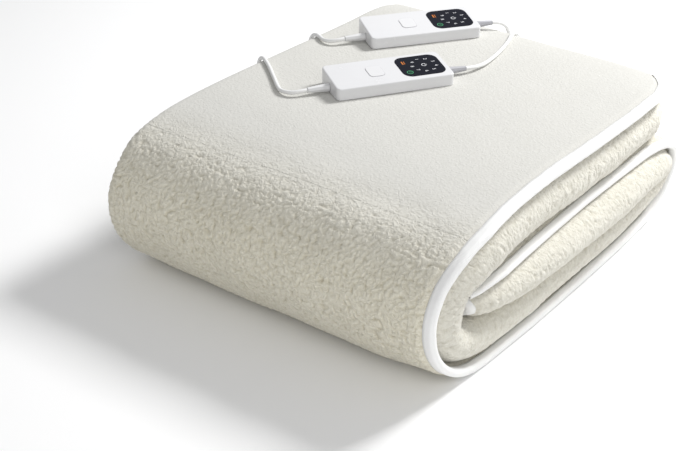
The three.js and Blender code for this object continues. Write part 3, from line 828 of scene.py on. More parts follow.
FLEECE = FleeceFinish("cream_fleece").build()
TAPE = TapeFinish("white_tape").build()
WHITE = PlasticFinish("white_plastic", (0.75, 0.75, 0.762), (0.71, 0.71, 0.722), 0.22, coat=0.35).build()
WHITE_MATT = PlasticFinish("white_button", (0.74, 0.74, 0.75), (0.70, 0.70, 0.71), 0.34).build()
GROOVE = PlasticFinish("grey_groove", (0.48, 0.48, 0.50), (0.42, 0.42, 0.44), 0.5).build()
WHITE_RUBBER = PlasticFinish(
    "white_relief", (0.76, 0.76, 0.765), (0.70, 0.70, 0.705), 0.5, grain_metres=0.00008).build()
PANEL = PlasticFinish(
    "black_display", (0.006, 0.007, 0.013), (0.009, 0.010, 0.018), 0.16,
    spread=0.05, grain_metres=0.00001, specular=0.12).build()
SHEATH = PlasticFinish("white_sheath", (0.84, 0.84, 0.835), (0.78, 0.78, 0.775), 0.42).build()
RUBBER = PlasticFinish(
    "grey_relief", (0.42, 0.42, 0.45), (0.36, 0.36, 0.38), 0.55, grain_metres=0.00008).build()
PIN = PlasticFinish("plated_pin", (0.72, 0.71, 0.68), (0.60, 0.59, 0.56), 0.22, metal=1.0).build()
MARK_WHITE = PlasticFinish("display_white", (0.75, 0.76, 0.78), (0.68, 0.69, 0.71), 0.45).build()
MARK_ORANGE = PlasticFinish("display_orange", (0.72, 0.23, 0.03), (0.62, 0.18, 0.02), 0.45).build()
MARK_GREEN = PlasticFinish("display_green", (0.05, 0.32, 0.14), (0.04, 0.25, 0.11), 0.45).build()
TIE = PlasticFinish("white_tie", (0.80, 0.80, 0.80), (0.72, 0.72, 0.72), 0.5).build()


# Camera and light

@dataclass
class Studio:
    """Camera at the photograph's angle, pale floor and soft light."""

    azimuth: float = 38.0
    elevation: float = 29.0
    distance: float = 1.530
    shift_right: float = -0.080
    shift_up: float = 0.011
    focal_pixels: float = 1380.0
    picture_width: float = 680.0
    sensor: float = 36.0
    floor_reach: float = 12.0
    aim: tuple[float, float, float] = (0.0, 0.0, 0.1)

    def axes(self) -> tuple[Vector, Vector, Vector]:
        """Unit vectors to the camera's right, up and back."""
        turn, rise = math.radians(self.azimuth), math.radians(self.elevation)
        back = Vector((math.sin(turn) * math.cos(rise), -math.cos(turn) * math.cos(rise), math.sin(rise)))
        right = Vector((math.cos(turn), math.sin(turn), 0.0))
        return right, back.cross(right), back

    def add_camera(self) -> None:
        """Places the camera, which looks along the negative of its back vector."""
        right, up, back = self.axes()
        data = bpy.data.cameras.new("camera")
        data.sensor_width = self.sensor
        data.lens = self.focal_pixels / self.picture_width * self.sensor
        camera = bpy.data.objects.new("camera", data)
        place = right * self.shift_right + up * self.shift_up + back * self.distance
        turned = Matrix((right, up, back)).transposed().to_4x4()
        camera.matrix_world = Matrix.Translation(place) @ turned
        bpy.context.scene.collection.objects.link(camera)
        bpy.context.scene.camera = camera

    def add_floor(self) -> None:
        """Lays a wide pale floor."""
        mesh = bpy.data.meshes.new("floor")
        corners = ((-1.0, -1.0), (1.0, -1.0), (1.0, 1.0), (-1.0, 1.0))
        mesh.from_pydata([(x * self.floor_reach, y * self.floor_reach, 0.0) for x, y in corners],
                         [], [(0, 1, 2, 3)])
        material, nodes, shader = new_material("pale_floor")
        tone = nodes.add("ShaderNodeTexNoise", {
            "Vector": nodes.add("ShaderNodeTexCoord").outputs["Object"], "Scale": 1.5, "Detail": 2.0})
        nodes.fill(shader, {
            "Base Color": nodes.mix(tone.outputs["Fac"], (0.97, 0.97, 0.97), (0.96, 0.96, 0.96)),
            "Roughness": 0.9, "Specular IOR Level": 0.1})
        mesh.materials.append(material)
        floor = bpy.data.objects.new("floor", mesh)
        bpy.context.scene.collection.objects.link(floor)
        floor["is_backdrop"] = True

    def add_area(self, name: str, place: Sequence[float], size: float, watts: float) -> None:
        """Hangs a square area light that faces the pack.

        Args:
            name: Name of the light.
            place: Where it hangs, in metres.
            size: Length of its side.
            watts: Its power.
        """
        data = bpy.data.lights.new(name, "AREA")
        data.size = size
        data.energy = watts
        light = bpy.data.objects.new(name, data)
        turned = (Vector(self.aim) - Vector(place)).to_track_quat("-Z", "Y").to_matrix().to_4x4()
        light.matrix_world = Matrix.Translation(Vector(place)) @ turned
        bpy.context.scene.collection.objects.link(light)

    def add_light(self) -> None:
        """Lights the pack from above and behind on the right, with a white room around it."""
        world = bpy.data.worlds.new("studio")
        world.use_nodes = True
        nodes = Nodes(world.node_tree)
        sky = nodes.add("ShaderNodeBackground", {"Color": (0.985, 0.99, 1.0, 1.0), "Strength": 0.42})
        nodes.add("ShaderNodeOutputWorld", {"Surface": sky.outputs["Background"]})
        bpy.context.scene.world = world
        bpy.context.scene.view_settings.view_transform = "Standard"
        self.add_area("key", (0.48, 1.32, 1.50), 0.55, 43.0)
        self.add_area("fill", (1.5, -1.3, 1.3), 1.4, 14.0)

    def build(self) -> None:
        """Adds the camera, the floor and the light."""
        self.add_camera()
        self.add_floor()
        self.add_light()


# Leads

class FarEnd(Enum):
    """What a lead's far end goes to."""

    PLUG = "plug"
    BLANKET = "object"


def through(points: Array, step: float) -> Array:
    """Points on a spline through a route.

    Args:
        points: The route, one row for each point.
        step: Largest distance between the new points.

    Returns:
        The new points, the route's own ones among them.
    """
    ends = (2.0 * points[:1] - points[1:2], points, 2.0 * points[-1:] - points[-2:-1])
    knots = np.concatenate(ends)
    spacing = np.sqrt(np.linalg.norm(np.diff(knots, axis=0), axis=1))
    found = []
    for k in range(len(points) - 1):
        count = max(1, math.ceil(np.linalg.norm(points[k + 1] - points[k]) / step))
        w = (np.arange(count) / count)[:, None]
        found.append(spline(knots[k:k + 4], spacing[k:k + 3], w))
    found.append(points[-1:])
    return np.concatenate(found)


@dataclass
class Lead:
    """One free lead: its route over the pack, and its coil where it ends in a plug.

    layer_radii and layer_heights place each turn of the coil, in cord diameters out from the
    mean radius and up from the floor. slides and rises say in which part of a turn it moves on
    to the next one's place.
    """

    name: str
    far_end: FarEnd
    route: tuple[tuple[float, float, float], ...]
    coil: tuple[float, float] | None = None
    diameter: float = 4.5
    coil_mean: float = 25.0
    coil_gap: float = 0.05
    floor_gap: float = 0.1
    turns: float = 8.5
    steps_in_turn: int = 40
    layer_radii: tuple[int, ...] = (1, 0, -1, -1, 0, -1, -1, 0, 1)
    layer_heights: tuple[int, ...] = (0, 0, 0, 1, 1, 2, 2, 2, 2)
    slides: tuple[float, float] = (0.68, 1.0)
    rises: tuple[float, float] = (0.60, 0.92)
    last_rise: float = 0.75
    plug_axis_height: float = 7.0
    plug_front_to_sleeve_tip: float = 17.3
    route_step: float = 3.0
    tie_reach: float = 7.2

    def coil_path(self) -> Array:
        """Turns of the coil, wound outside to inside and back, and then out to the plug.

        Each turn keeps one radius and height and slides to the next turn's in its last part.

        Returns:
            Points in millimetres.
        """
        gap = self.diameter + self.coil_gap
        radii = self.coil_mean + gap * np.array(self.layer_radii)
        heights = self.diameter / 2.0 + self.floor_gap + gap * np.array(self.layer_heights)
        turned = np.linspace(0.0, self.turns, int(self.turns * self.steps_in_turn) + 1)[1:]
        whole = np.minimum(np.floor(turned).astype(int), len(radii) - 1)
        after = np.minimum(whole + 1, len(radii) - 1)
        slide = smooth(turned - whole, *self.slides)
        rise = smooth(turned - whole, *self.rises)
        radius = radii[whole] * (1.0 - slide) + radii[after] * slide
        height = heights[whole] * (1.0 - rise) + heights[after] * rise
        final = smooth(turned, self.turns - self.last_rise, self.turns)
        height = height * (1.0 - final) + self.plug_axis_height * final
        angle = 2.0 * math.pi * turned
        x = self.coil[0] + radius * np.cos(angle)
        y = self.coil[1] + radius * np.sin(angle)
        return np.stack([x, y, height], axis=1)

    def path(self) -> Array:
        """The lead's whole centreline in millimetres."""
        route = through(np.array(self.route, float), self.route_step)
        if self.coil is None:
            return route
        x, y, z = route[-1]
        run_in = [[x, y + (self.coil[1] - y) * share, z] for share in (0.35, 0.7, 1.0)]
        turns = self.coil_path()
        x, y = turns[-1, :2]
        run_out = [[x, y - self.plug_front_to_sleeve_tip * share, self.plug_axis_height]
                   for share in (0.33, 0.66, 1.0)]
        return np.concatenate([route, run_in, turns, run_out])

    def build(self) -> Object:
        path = self.path() * MM
        data = bpy.data.curves.new(f"cord_{self.name}", "CURVE")
        data.dimensions = "3D"
        data.bevel_depth = self.diameter / 2.0 * MM
        data.bevel_resolution = 4
        data.use_fill_caps = True
        spline = data.splines.new("POLY")
        spline.points.add(len(path) - 1)
        spline.points.foreach_set("co", np.column_stack([path, np.ones(len(path))]).ravel())
        spline.use_smooth = True
        data.materials.append(SHEATH)
        lead = bpy.data.objects.new(f"cord_{self.name}", data)
        bpy.context.scene.collection.objects.link(lead)
        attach(lead, BODY)
        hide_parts(f"lead_{self.name}", *([f"coil_{self.name}"] if self.coil else []))
        length = float(np.linalg.norm(np.diff(path, axis=0), axis=1).sum())
        on_it = []
        if self.coil:
            parts = ("plug", "plug_relief", "plug_pin_left", "plug_pin_right")
            on_it = [f"{part}_{self.name}" for part in parts]
            on_it += [self.add_tie(angle).name for angle in (90.0, 270.0)]
        log.info("lead %s: %.3f m", self.name, length)
        return lead

    def add_tie(self, angle: float) -> Object:
        """Wraps a flat band round the coil's turns.

        The band is a rounded rectangle around the coil's section, carried across the coil.

        Args:
            angle: Where on the coil it sits, in degrees.

        Returns:
            The tie.
        """
        inner, outer = self.coil_mean - self.tie_reach, self.coil_mean + self.tie_reach
        low, high, corner, wide, thick, skin, lowest = 0.05, 14.3, 1.6, 5.0, 0.9, 0.1, 0.02
        turn = np.radians(np.arange(0.0, 360.0, 15.0))
        mid_r, mid_z = (inner + outer) / 2.0, (low + high) / 2.0
        sign_r, sign_z = np.sign(np.cos(turn) + 1e-9), np.sign(np.sin(turn) + 1e-9)

        def section(grow: float) -> Array:
            """Points of the band's rounded rectangle, grown by some millimetres."""
            r = mid_r + sign_r * ((outer - inner) / 2.0 - corner) + (corner + grow) * np.cos(turn)
            z = mid_z + sign_z * ((high - low) / 2.0 - corner) + (corner + grow) * np.sin(turn)
            return np.stack([r, np.maximum(z, lowest)], axis=1)

        across = np.array([-0.5, -0.42, 0.42, 0.5]) * wide
        rim = np.array([0.0, 1.0, 1.0, 0.0]) * thick
        loops = []
        for offset, grow in (*zip(across, rim * (1.0 - skin) + skin), *zip(across[::-1], np.zeros(4))):
            ring = section(grow)
            loops.append(np.stack([ring[:, 0], np.full(len(ring), offset), ring[:, 1]], axis=1))
        index = np.arange(len(loops) * len(turn)).reshape(len(loops), len(turn))
        below = np.roll(index, -1, axis=0)
        quads = np.stack([index, np.roll(index, -1, axis=1), np.roll(below, -1, axis=1), below], axis=-1)
        flat = np.concatenate(loops)
        quads = outward(flat, quads.reshape(-1, 4))
        cos, sin = math.cos(math.radians(angle)), math.sin(math.radians(angle))
        x = self.coil[0] + flat[:, 0] * cos - flat[:, 1] * sin
        y = self.coil[1] + flat[:, 0] * sin + flat[:, 1] * cos
        placed = np.stack([x, y, flat[:, 2]], axis=1) * MM
        return new_piece(f"tie_{self.name}_{int(angle)}", placed, quads, TIE, "lead_white")


LEADS = (
    Lead("mains_front", FarEnd.PLUG, (
        (-96.6, -62.8, 170.3), (-100.3, -68.7, 169.9), (-106.5, -74.3, 168.9), (-114.5, -76.6, 168.2),
        (-123.5, -74.6, 167.4), (-134, -67, 167), (-147, -56, 166.9), (-160, -45, 166.7),
        (-173, -34, 166.8), (-186, -24, 166.8), (-198, -15.5, 165.8), (-208, -9.5, 161.2),
        (-214, -6, 152), (-216.5, -4.5, 139), (-217, -4, 115), (-217, -3.5, 90),
        (-217, -3, 65), (-217.2, -2.5, 43), (-218, -1, 25), (-221, 4, 11.5),
        (-226, 12, 4.2), (-229.6, 20, 2.6), (-230.5, 28.4, 2.55)), (-260.0, 45.0)),
    Lead("mains_rear", FarEnd.PLUG, (
        (-156.9, 79.3, 170), (-160, 74.4, 169.5), (-165.4, 69.8, 168.4), (-173, 67.8, 167.2),
        (-181, 69.5, 166.4), (-189.5, 74.5, 166), (-199, 80, 164.6), (-208, 84, 160),
        (-214, 86.5, 151), (-216.5, 88, 138), (-217, 89, 115), (-217, 90, 90),
        (-217, 91, 65), (-217.2, 92, 43), (-218, 94, 25), (-220, 99, 11.5),
        (-222.5, 108, 4.2), (-224.5, 121, 2.6), (-227, 136, 2.55), (-229.5, 152, 2.55),
        (-230.5, 168.4, 2.55)), (-260.0, 185.0)),
    Lead("blanket_front", FarEnd.BLANKET, (
        (0.6, 92.9, 169.1), (3.2, 98.5, 168.7), (5.4, 107, 167.7), (6.2, 120, 166.6),
        (4.6, 135, 166), (1.8, 151, 165.5), (-1.8, 167, 165.1), (-6.2, 183, 164.7),
        (-11, 198, 164.1), (-16.5, 212, 163.2), (-22, 225, 161.9), (-26, 236, 160),
        (-27.8, 244.5, 157), (-28.4, 251, 152.2), (-28.5, 255.6, 147.6), (-28.5, 257.1, 143.2),
        (-28.5, 257.2, 139.5))),
    Lead("blanket_rear", FarEnd.BLANKET, (
        (-52.9, 230.6, 168.9), (-50.2, 234.8, 168.3), (-47.6, 239.6, 167), (-45.8, 245.4, 164),
        (-45, 251, 159.2), (-44.6, 255.2, 152.5), (-44.5, 256.9, 147), (-44.5, 257.2, 143.2),
        (-44.5, 257.2, 139.5))),
)


# Fleece

@dataclass
class PilePatch:
    """One stretch of visible pile: a finely displaced skin that tucks into the cloth."""

    name: str
    s_from: float
    s_to: float
    u_from: float
    u_to: float
    side: float
    pitch: float
    relief: float
    back_columns: int = 12
    tuck: float = 3.2
    border: float = 5.0
    most_quads: int = 84000
    curly: float = 0.5
    lift: float = 0.5
    uneven: float = 1.1
    uneven_cell: float = 37.0
    uneven_seed: float = 51.0
    mean_tuft: float = 0.42
    flat_tone: float = 0.62
    toned_relief: float = 1.6
    back_tuft: float = 0.3
    other_face: float = 900.0

    def cover(self, s: Array, u: Array) -> Array:
        """How far the patch covers a point of the cloth, from 0 outside to 1 inside."""
        arc = FOLDING.arc(u)
        low, high = FOLDING.arc(np.array([self.u_from, self.u_to]))
        across = smooth(np.minimum(s - self.s_from, self.s_to - s), 0.0, self.border)
        along = smooth(np.minimum(arc - low, high - arc), 0.0, self.border)
        return across * along

    def build(self) -> Object:
        """Makes the patch as a closed skin.

        Its outer net is the cloth's own face raised by the pile, and lowered by a smooth step
        along its borders. Its back is a coarse net inside the cloth.

        Returns:
            The patch.
        """
        low, high = FOLDING.arc(np.array([self.u_from, self.u_to]))
        area = (high - low) * (self.s_to - self.s_from)
        pitch = max(self.pitch, math.sqrt(area / self.most_quads))
        arc = np.linspace(low, high, int((high - low) / pitch))[:, None]
        s = np.linspace(self.s_from, self.s_to, int((self.s_to - self.s_from) / pitch))[None, :]
        s, arc, u = np.broadcast_arrays(s, arc, FOLDING.row_at(arc))
        tuft = pile_height(s + self.other_face * (self.side < 0.0), arc)
        inside = self.cover(s, u)
        relief = self.relief_at(u)
        uneven = self.uneven * value_noise(s / self.uneven_cell, arc / self.uneven_cell, self.uneven_seed)
        uneven = uneven * np.minimum(relief, 1.0)
        rise = (relief * (tuft - self.mean_tuft) + self.lift + uneven) * inside - self.tuck * (1.0 - inside)
        n = self.side * (FOLDING.half(s, u) + rise)
        front = FOLDING.point(s, n, u)
        back_s = np.linspace(self.s_from, self.s_to, self.back_columns)[None, :]
        back_s, back_u = np.broadcast_arrays(back_s, u[:, :1])
        back = FOLDING.point(back_s, self.side * (FOLDING.half(back_s, back_u) - self.tuck - 1.0), back_u)
        points, faces = self.close(front, back)
        piece = new_piece(self.name, points, faces, FLEECE, "fleece")
        # Painted shade: the tuft attribute follows the tufts' height where the pile is curly, so the fleece's
        # colour darkens in the creases between tufts; where the pile is smoothed flat it stays even.
        tone = self.flat_tone + (tuft - self.flat_tone) * smooth(relief, 0.0, self.toned_relief)
        put_attribute(piece, "tuft", np.concatenate([tone.ravel(), np.full(back_s.size, self.back_tuft)]))
        put_attribute(piece, "curly", np.concatenate([self.curly_at(u).ravel(), np.full(back_s.size, 0.5)]))
        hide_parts("blanket_cloth")
        return piece

    def relief_at(self, u: Array) -> Array:
        """Height of the pile's tufts in millimetres, lower where the cloth is smoothed flat."""
        return np.full(np.shape(u), self.relief)

    def curly_at(self, u: Array) -> Array:
        """How curly and beige the pile is, from 0 where it is smoothed to 1."""
        return np.full(np.shape(u), self.curly)

    @staticmethod
    def close(front: Array, back: Array) -> tuple[Array, list[list[int]]]:
        """Joins the fine face and the coarse back along their rims.

        Args:
            front: Fine net, rows by columns by 3.
            back: Coarse net with as many rows.

        Returns:
            The points and the faces, with every face pointing outwards.
        """
        rows, columns = front.shape[:2]
        coarse = back.shape[1]
        points = np.concatenate([front.reshape(-1, 3), back.reshape(-1, 3)])
        start = rows * columns
        fine = np.arange(start).reshape(rows, columns)
        rear = start + np.arange(rows * coarse).reshape(rows, coarse)
        sides = [
            np.stack([fine[1:, 0], fine[:-1, 0], rear[:-1, 0], rear[1:, 0]], axis=1),
            np.stack([fine[:-1, -1], fine[1:, -1], rear[1:, -1], rear[:-1, -1]], axis=1),
        ]
        quads = np.concatenate([quad_grid(rows, columns), quad_grid(rows, coarse, start)[:, ::-1], *sides])
        ends = [fine[0, ::-1].tolist() + rear[0].tolist(), fine[-1].tolist() + rear[-1, ::-1].tolist()]
        if signed_volume(points, quads) < 0.0:
            quads = quads[:, ::-1]
            ends = [end[::-1] for end in ends]
        return points, quads.tolist() + ends


@dataclass
class TopPatch(PilePatch):
    """Pile of the top face and the front fold, smoothed flat on top and curly low in front."""

    smooth_relief: float = 0.3
    curly_from: float = 8.2
    curly_full: float = 11.2
    beige_full: float = 11.7

    def relief_at(self, u: Array) -> Array:
        """Blends from the smoothed top to the curly front fold along the roll."""
        share = smooth(u, self.curly_from, self.curly_full)
        return self.smooth_relief + (self.relief - self.smooth_relief) * share

    def curly_at(self, u: Array) -> Array:
        """Blends from the pale, smoothed top to the beige curls of the front along the roll."""
        return smooth(u, self.curly_from, self.beige_full)


@dataclass
class Fleece:
    """The blanket's cloth: one closed sheet with its pile raised where it shows."""

    row_step: float = 7.0
    column_step: float = 9.0
    turn_step: float = 4.0
    recess: float = 1.6
    relief: float = 3.4
    edge: float = 6.2
    hem_rows: float = 0.25
    margin: float = 2.3
    rim: tuple[float, ...] = (2.3, 6.0, 11.0, 13.5, 16.0)
    rim_gap: float = 2.0
    beside_turn: float = 12.0
    past_left: float = 10.0
    fold_reach: tuple[float, float] = (26.0, 22.0)
    patches: list[PilePatch] = field(init=False)

    def __post_init__(self) -> None:
        """Lays out the patches of visible pile."""
        edge, first, last = self.edge, self.hem_rows, FOLDING.last - self.hem_rows
        left_start = FOLDING.turn_start(1) - self.beside_turn
        left_end = FOLDING.turn_end(1) + self.past_left
        fold = (FOLDING.turn_start(3) - self.fold_reach[0], FOLDING.turn_end(3) + self.fold_reach[1])
        inner_left = (FOLDING.turn_start(5) - self.beside_turn, FOLDING.turn_end(5) + self.beside_turn)
        self.patches = [
            TopPatch("pile_top", edge, left_end, first, 9.6, 1.0, 1.6, self.relief),
            TopPatch("pile_front", edge, left_end, 9.35, 17.3, 1.0, 1.1, self.relief),
            PilePatch("pile_back", edge, left_end, 20.9, 28.2, 1.0, 1.8, self.relief),
            PilePatch("pile_inner_top", edge, 75.0, 28.0, last, 1.0, 1.4, self.relief),
            PilePatch("pile_right_fold", *fold, first, last, -1.0, 1.3, self.relief, lift=2.2),
            PilePatch("pile_left_fold", *inner_left, first, last, -1.0, 2.4, self.relief),
            PilePatch("pile_left_return", left_start, left_end, 17.0, 21.2, 1.0, 2.4, self.relief),
            PilePatch("pile_left_inner", left_start, left_end, 28.0, last, 1.0, 2.4, self.relief),
        ]

    def covered(self, s: Array, u: Array, side: float) -> Array:
        """How far the patches on one face cover each point of the cloth."""
        result = np.zeros(np.shape(s))
        for patch in self.patches:
            if patch.side == side:
                result = np.maximum(result, patch.cover(s, u))
        return result

    def build(self) -> list[Object]:
        rows = int(FOLDING.along_mm[-1] / self.row_step)
        arc = np.linspace(self.margin, FOLDING.along_mm[-1] - self.margin, rows)[:, None]
        parts = []
        for item in FOLDING.stretches:
            step = self.turn_step if item.radius else self.column_step
            count = math.ceil(item.length / step) + 1
            parts.append(np.linspace(item.start, item.start + item.length, count)[:-1])
        inner = np.concatenate(parts)
        rim = np.array(self.rim)
        clear = rim[-1] + self.rim_gap
        inner = inner[(inner > clear) & (inner < FOLDING.width - clear)]
        s = np.concatenate([rim, inner, (FOLDING.width - rim)[::-1]])[None, :]
        s, u = np.broadcast_arrays(s, FOLDING.row_at(arc))
        nets = [FOLDING.point(s, side * (FOLDING.half(s, u) - self.recess * self.covered(s, u, side)), u)
                for side in (1.0, -1.0)]
        points, quads = shell(*nets)
        sheet = new_piece("fleece_sheet", points, quads, FLEECE, "fleece")
        put_attribute(sheet, "tuft", np.full(len(points), 0.45))
        put_attribute(sheet, "curly", np.full(len(points), 0.5))
        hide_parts("blanket_cloth")
        self.sheet = sheet
        self.pile = [patch.build() for patch in self.patches]
        for piece in self.pile:
            log.info("%s: %d faces", piece.name, len(piece.data.polygons))
        return [sheet, *self.pile]

    def declare(self) -> None:
        list(self.pile)


# Binding

@dataclass
class Binding:
    """White tape folded round the cloth's edges and hems."""

    reach: float = 10.0
    hem_reach: float = 6.6
    half: float = 5.0
    clear_half: float = 4.0
    hem_half: float = 4.3
    hem_clear_half: float = 3.4
    hem_row: float = 12.0
    hem_inset: float = 10.0
    row_step: float = 3.5
    thick: float = 1.2
    bend: float = 3.2
    flank: tuple[float, ...] = (1.0, 0.6, 0.3)
    wander: float = 0.45
    wander_from: float = 3.0
    wander_cell: float = 14.0
    wander_seed: float = 21.0
    crimp: float = 0.05
    crimp_cell: tuple[float, float] = (5.5, 6.0)

    def section(self, half: float, back: float, reach: float) -> tuple[Array, Array]:
        """Section of the tape as distances in from the edge and off the cloth's middle.

        The two flanks are straight and the back is half an ellipse.

        Args:
            half: Half of the tape's width across the cloth.
            back: How far in from the edge its back lies.
            reach: How far in its flanks end.

        Returns:
            The distances in and off.
        """
        turn = np.radians(np.linspace(-90.0, 90.0, 9))
        d_back = back + self.bend - self.bend * np.cos(turn)
        flank = back + self.bend + (reach - back - self.bend) * np.array(self.flank)
        d = np.concatenate([flank, d_back, flank[::-1]])
        n = np.concatenate([np.full(len(flank), -half), half * np.sin(turn), np.full(len(flank), half)])
        return d, n

    def tape(self, name: str, halves: tuple[float, float], reach: float, span: tuple[float, float],
             wander: float, seed: float, place: Callable[[Array, Array, Array], Array]) -> Object:
        """Makes one tape and puts it in place of its node.

        Args:
            name: Node that the tape stands for.
            halves: Half the width of its outer and of its inner face.
            reach: How far in its flanks end.
            span: Where it begins, and where it ends, along its edge or hem.
            wander: How far the ends of its flanks wander.
            seed: Number that picks the pattern of its crimps.
            place: Turns distances in, off and along into coordinates.

        Returns:
            The tape.
        """
        line = np.linspace(*span, int((span[0] + span[1]) / self.row_step))[:, None]
        nets, uvs = [], []
        for half, back in zip(halves, (0.0, self.thick)):
            d, n = self.section(half, back, reach)
            d, n, along = np.broadcast_arrays(d[None, :], n[None, :], line)
            d = d + (wander * value_noise(along / self.wander_cell, 0.0 * along, self.wander_seed)
                     * smooth(d, self.wander_from, reach))
            n = n * (1.0 + self.crimp * value_noise(along / self.crimp_cell[0], d / self.crimp_cell[1], seed))
            nets.append(place(d, n, along))
            uvs.append(np.stack([d * MM, along * MM], axis=-1).reshape(-1, 2))
        tape = new_piece(name.replace("binding", "tape"), *shell(*nets), TAPE, "binding_tape")
        put_uv(tape, np.concatenate(uvs))
        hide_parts(name)
        return tape

    def build(self) -> list[Object]:
        """Makes the tapes of the two long edges and of the two hems."""
        point, row_at, hem_row = FOLDING.point, FOLDING.row_at, self.hem_row
        width, last = FOLDING.width, FOLDING.last
        edge = ((self.half, self.clear_half), self.reach, (0.0, FOLDING.along_mm[-1]), self.wander, 31.0)
        hem = ((self.hem_half, self.hem_clear_half), self.hem_reach,
               (self.hem_inset, width - self.hem_inset), 0.0, 41.0)
        return [
            self.tape("binding_right_edge", *edge, lambda d, n, along: point(d, n, row_at(along))),
            self.tape("binding_tucked_edge", *edge, lambda d, n, along: point(width - d, n, row_at(along))),
            self.tape("binding_back_hem", *hem, lambda d, n, along: point(along, n, d / hem_row)),
            self.tape("binding_front_hem", *hem, lambda d, n, along: point(along, n, last - d / hem_row)),
        ]


# Marks on the controllers

@dataclass
class FacePlane:
    """The flat top of one of the model's nodes, with axes along the controller."""

    centre: Array
    along: Array
    across: Array
    normal: Array

    @classmethod
    def of(cls, node: str, joint: str, heading: float) -> "FacePlane":
        """Finds the top of a node.

        Args:
            node: Name of the node.
            joint: The button's joint, whose axis is the face's normal.
            heading: Direction of the controller on the ground, in degrees.

        Returns:
            The plane, centred on the node.
        """
        normal = next(np.array(item["axis"], float) for item in frame["joints"] if item["name"] == joint)
        normal = normal / np.linalg.norm(normal)
        ahead = np.array([math.cos(math.radians(heading)), math.sin(math.radians(heading)), 0.0])
        along = ahead - normal * (ahead @ normal)
        along = along / np.linalg.norm(along)
        points = mesh_points(frame["nodes"][node].data)
        middle = (points.min(axis=0) + points.max(axis=0)) / 2.0
        top = (points @ normal).max()
        return cls(middle + normal * (top - middle @ normal), along, np.cross(normal, along), normal)

    def place(self, points: Array) -> Array:
        """Carries points in millimetres along, across and off the face into the frame."""
        axes = np.stack([self.along, self.across, self.normal])
        return self.centre + points @ axes * MM


def rounded_loop(wide: float, deep: float, corner: float, steps: int = 8) -> Array:
    """Points round a rectangle with round corners, anticlockwise from its right side."""
    turn = np.concatenate([np.linspace(start, start + 90.0, steps) for start in (0.0, 90.0, 180.0, 270.0)])
    angle = np.radians(turn)
    side_x = np.repeat([1.0, -1.0, -1.0, 1.0], steps) * (wide / 2.0 - corner)
    side_y = np.repeat([1.0, 1.0, -1.0, -1.0], steps) * (deep / 2.0 - corner)
    return np.stack([side_x + corner * np.cos(angle), side_y + corner * np.sin(angle)], axis=1)


def band(outer: Array, inner: Array, low: float, high: float, closed: bool = True) -> tuple[Array, Array]:
    """Flat band between two matching lines on a face, with a small thickness.

    Args:
        outer: Points of one line, in millimetres.
        inner: Points of the other line.
        low: Height of the band's underside.
        high: Height of its top.
        closed: Whether the lines are loops.

    Returns:
        The points and the quads, with every face pointing outwards.
    """
    count = len(outer)
    rings = [np.column_stack([line, np.full(count, height)])
             for line, height in ((outer, low), (outer, high), (inner, high), (inner, low))]
    points = np.concatenate(rings)
    index = np.arange(4 * count).reshape(4, count)
    last = count if closed else count - 1
    here, ahead = index[:, :last], np.roll(index, -1, axis=1)[:, :last]
    nxt = np.roll(np.arange(4), -1)
    quads = np.stack([here, ahead, ahead[nxt], here[nxt]], axis=-1).reshape(-1, 4)
    if not closed:
        quads = np.concatenate([quads, index[:, 0][None, :], index[::-1, -1][None, :]])
    return points, outward(points, quads)


def arc_band(radius: float, width: float, start: float, stop: float,
             low: float, high: float) -> tuple[Array, Array]:
    """Round band from one angle to another, whole where they are a full turn apart."""
    whole = abs(stop - start) >= 360.0
    angle = np.radians(np.linspace(start, stop, 41)[:40 if whole else 41])
    ring = np.stack([np.cos(angle), np.sin(angle)], axis=1)
    return band(ring * (radius + width / 2.0), ring * (radius - width / 2.0), low, high, whole)


def bar(wide: float, deep: float, low: float, high: float) -> tuple[Array, Array]:
    """Small upright block with round corners, as a loop that closes on its middle line."""
    loop = rounded_loop(wide, deep, min(wide, deep) * 0.3, 4)
    return band(loop, loop * 0.02, low, high)


def glyph(text: str, size: float, low: float, high: float) -> tuple[Array, list[list[int]]]:
    """Solid letters made from a text curve and centred on the origin.

    Args:
        text: What it says.
        size: Size of the type, in millimetres.
        low: Height of the underside.
        high: Height of the top.

    Returns:
        The points in millimetres and the faces.
    """
    curve = bpy.data.curves.new("glyph", "FONT")
    curve.body, curve.size = text, size
    curve.resolution_u = 3
    curve.extrude = (high - low) / 2.0
    holder = bpy.data.objects.new("glyph", curve)
    mesh = bpy.data.meshes.new_from_object(holder)
    points = mesh_points(mesh)
    points -= (points.min(axis=0) + points.max(axis=0)) / 2.0
    points[:, 2] += (low + high) / 2.0
    faces = [list(face.vertices) for face in mesh.polygons]
    bpy.data.objects.remove(holder)
    bpy.data.curves.remove(curve)
    bpy.data.meshes.remove(mesh)
    return points, faces


def turned(points: Array, x: float, y: float, quarter: bool) -> Array:
    """Moves a mark on its face, turned a quarter if asked, so that its top faces along it."""
    if quarter:
        points = np.stack([points[:, 1], -points[:, 0], points[:, 2]], axis=1)
    return points + np.array([x, y, 0.0])


@dataclass(frozen=True)
class Mark:
    """A ring (radius, width, start, stop) or a block (width, depth) at a place on a face."""

    x: float
    y: float
    size: tuple[float, ...]
    quarter: bool = False

    def build(self, low: float, high: float) -> tuple[Array, Array]:
        """Makes its points and quads between two heights."""
        points, quads = (arc_band if len(self.size) == 4 else bar)(*self.size, low, high)
        return turned(points, self.x, self.y, self.quarter), quads


